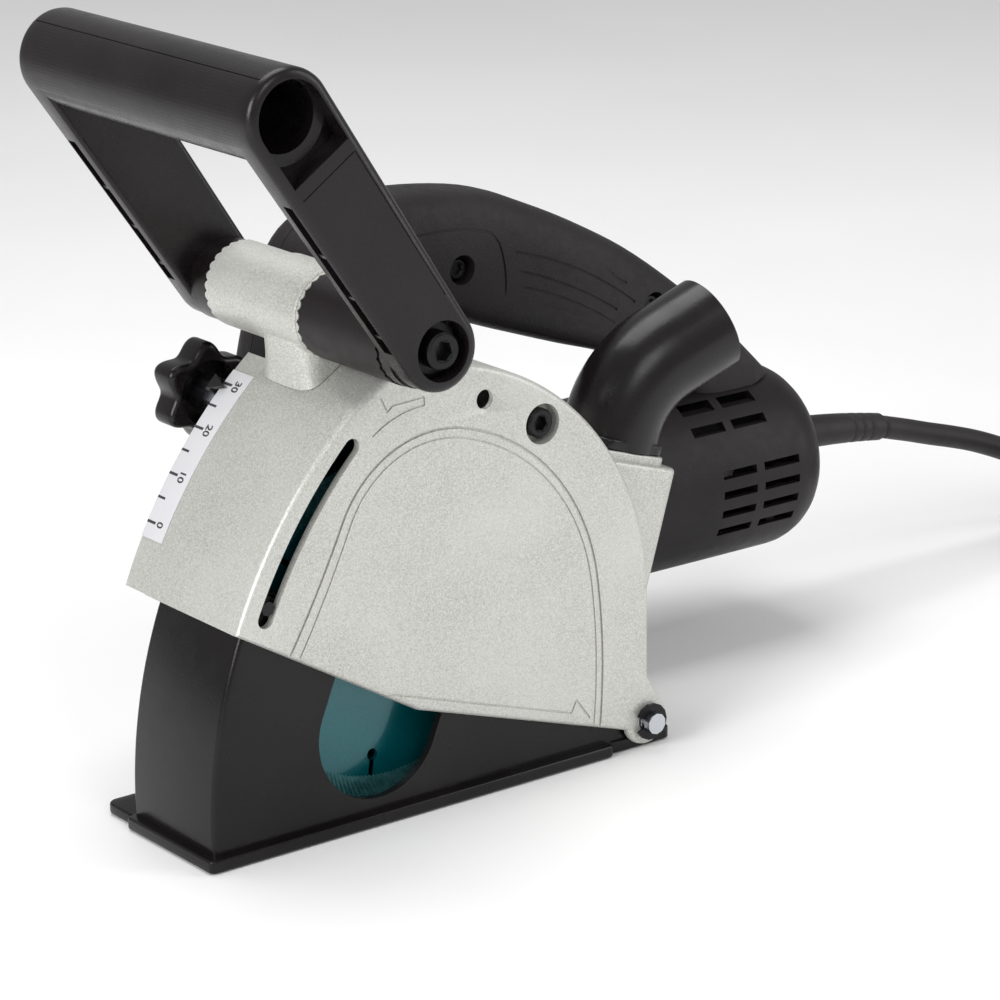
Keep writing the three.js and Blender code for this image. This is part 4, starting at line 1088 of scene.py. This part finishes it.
# ---- blades ----
def disc(y):
    half, bore, edge = 0.85, 11.1, 55
    section = [(-half, bore), (-half, edge), (half, edge), (half, bore), (-half, bore)]
    core = turned(section, (SPINDLE[0], y, SPINDLE[1]), (0, 1, 0), 144)
    slots = []
    for i in range(9):
        a = math.radians(-(40 * i + 22))
        place = Matrix.Translation((SPINDLE[0], y, SPINDLE[1])) @ Matrix.Rotation(a, 4, "Y")
        slots.append(block((47, -5, -0.9), (58, 5, 0.9), place))
        eye = place @ Vector((47, 0, 0))
        slots.append(rod_y(eye.x, eye.z, 2.2, y - 5, y + 5, 24))
    return cut(core, *slots)


def disc_rim(y):
    """The abrasive rim: fine slanting ribs round both faces of the disc's edge."""
    count = 800
    rings = []
    radii = (54, 55.5, 58, 60.5, 62.3)
    for radius, side in [(r, -1) for r in radii] + [(r, 1) for r in radii[::-1]]:
        ring = []
        for i in range(count):
            a = 2 * math.pi * i / count + 0.012 * (radius - radii[0])
            half = 1.1 if i % 4 < 2 else 0.8
            if radius == radii[0]:
                half = 0.7
            x, z = SPINDLE[0] + radius * math.cos(a), SPINDLE[1] + radius * math.sin(a)
            ring.append((x, y + side * half, z))
        rings.append(ring)
    return loft(rings, "rim", closed=True)


for name, y in (("left", 13.4), ("right", -13.4)):
    finish_piece(disc(y), f"disc_{name}", "spindle_set", "teal", [f"blade_{name}"])
    finish_piece(disc_rim(y), f"disc_rim_{name}", "spindle_set", "diamond")

# ---- CAD nodes that stay ----
KEPT = {
    "silver": ("gear_housing", "bearing_plate"),
    "matt": ("trigger", "switch_body", "cooling_fan", "lock_on_button", "shaft_lock_button"),
    "oxide": ("guide_pin", "lock_nut", "pivot_circlip_right", "pivot_circlip_left"),
    "zinc": ("pivot_pin", "stop_bolt", "stop_collar"),
    "steel": (
        "return_spring", "bearing_retainer", "spindle_bearing_front", "spindle_bearing_rear",
        "rotor_bearing_front", "rotor_bearing_rear", "spindle", "inner_flange",
        "spacer_ring_1", "spacer_ring_2", "bevel_wheel", "bevel_pinion", "armature", "stator",
    ),
    "copper": ("commutator", "brush_holder_lower", "brush_holder_upper"),
    "carbon": ("carbon_brush_lower", "carbon_brush_upper"),
}
for material, nodes in KEPT.items():
    for node in nodes:
        paint(node, material)

# ---- studio ----


def make_floor():
    bm = bmesh.new()
    bmesh.ops.create_grid(bm, x_segments=1, y_segments=1, size=6)
    floor = to_object("floor", bm)
    floor.location.z = -0.0005
    n = Nodes("floor_paper")
    n.link(n.mix(n.ramp(n.noise(3, 2), 0.3, 0.7), (0.91, 0.91, 0.91), (0.95, 0.95, 0.95)), "Base Color")
    n.link(n.ramp(n.noise(20, 2), 0.3, 0.7, 0.75, 0.85), "Roughness")
    floor.data.materials.append(n.material)


def area_light(name, place, target, size, power, size_y=None):
    data = bpy.data.lights.new(name, "AREA")
    data.energy, data.size = power, size
    if size_y:
        data.shape, data.size_y = "RECTANGLE", size_y
    light = bpy.data.objects.new(name, data)
    bpy.context.scene.collection.objects.link(light)
    light.location = row(place)
    aim = row(target) - light.location
    light.rotation_euler = aim.to_track_quat("-Z", "Y").to_euler()


make_floor()
area_light("front", (-1500, -350, 700), (-100, 0, 120), 0.7, 15)
area_light("key", (-300, -1300, 1100), (-60, 0, 100), 0.6, 4.5)
area_light("rear_right", (1100, -900, 700), (0, 0, 100), 0.5, 7, 1.4)
area_light("top", (0, 400, 1500), (0, 0, 100), 1.0, 12)
world = bpy.data.worlds.new("studio")
bpy.context.scene.world = world
world.use_nodes = True
background = world.node_tree.nodes["Background"]
background.inputs[0].default_value = (1, 1, 1, 1)
background.inputs[1].default_value = 0.42
bpy.context.scene.view_settings.view_transform = "Standard"
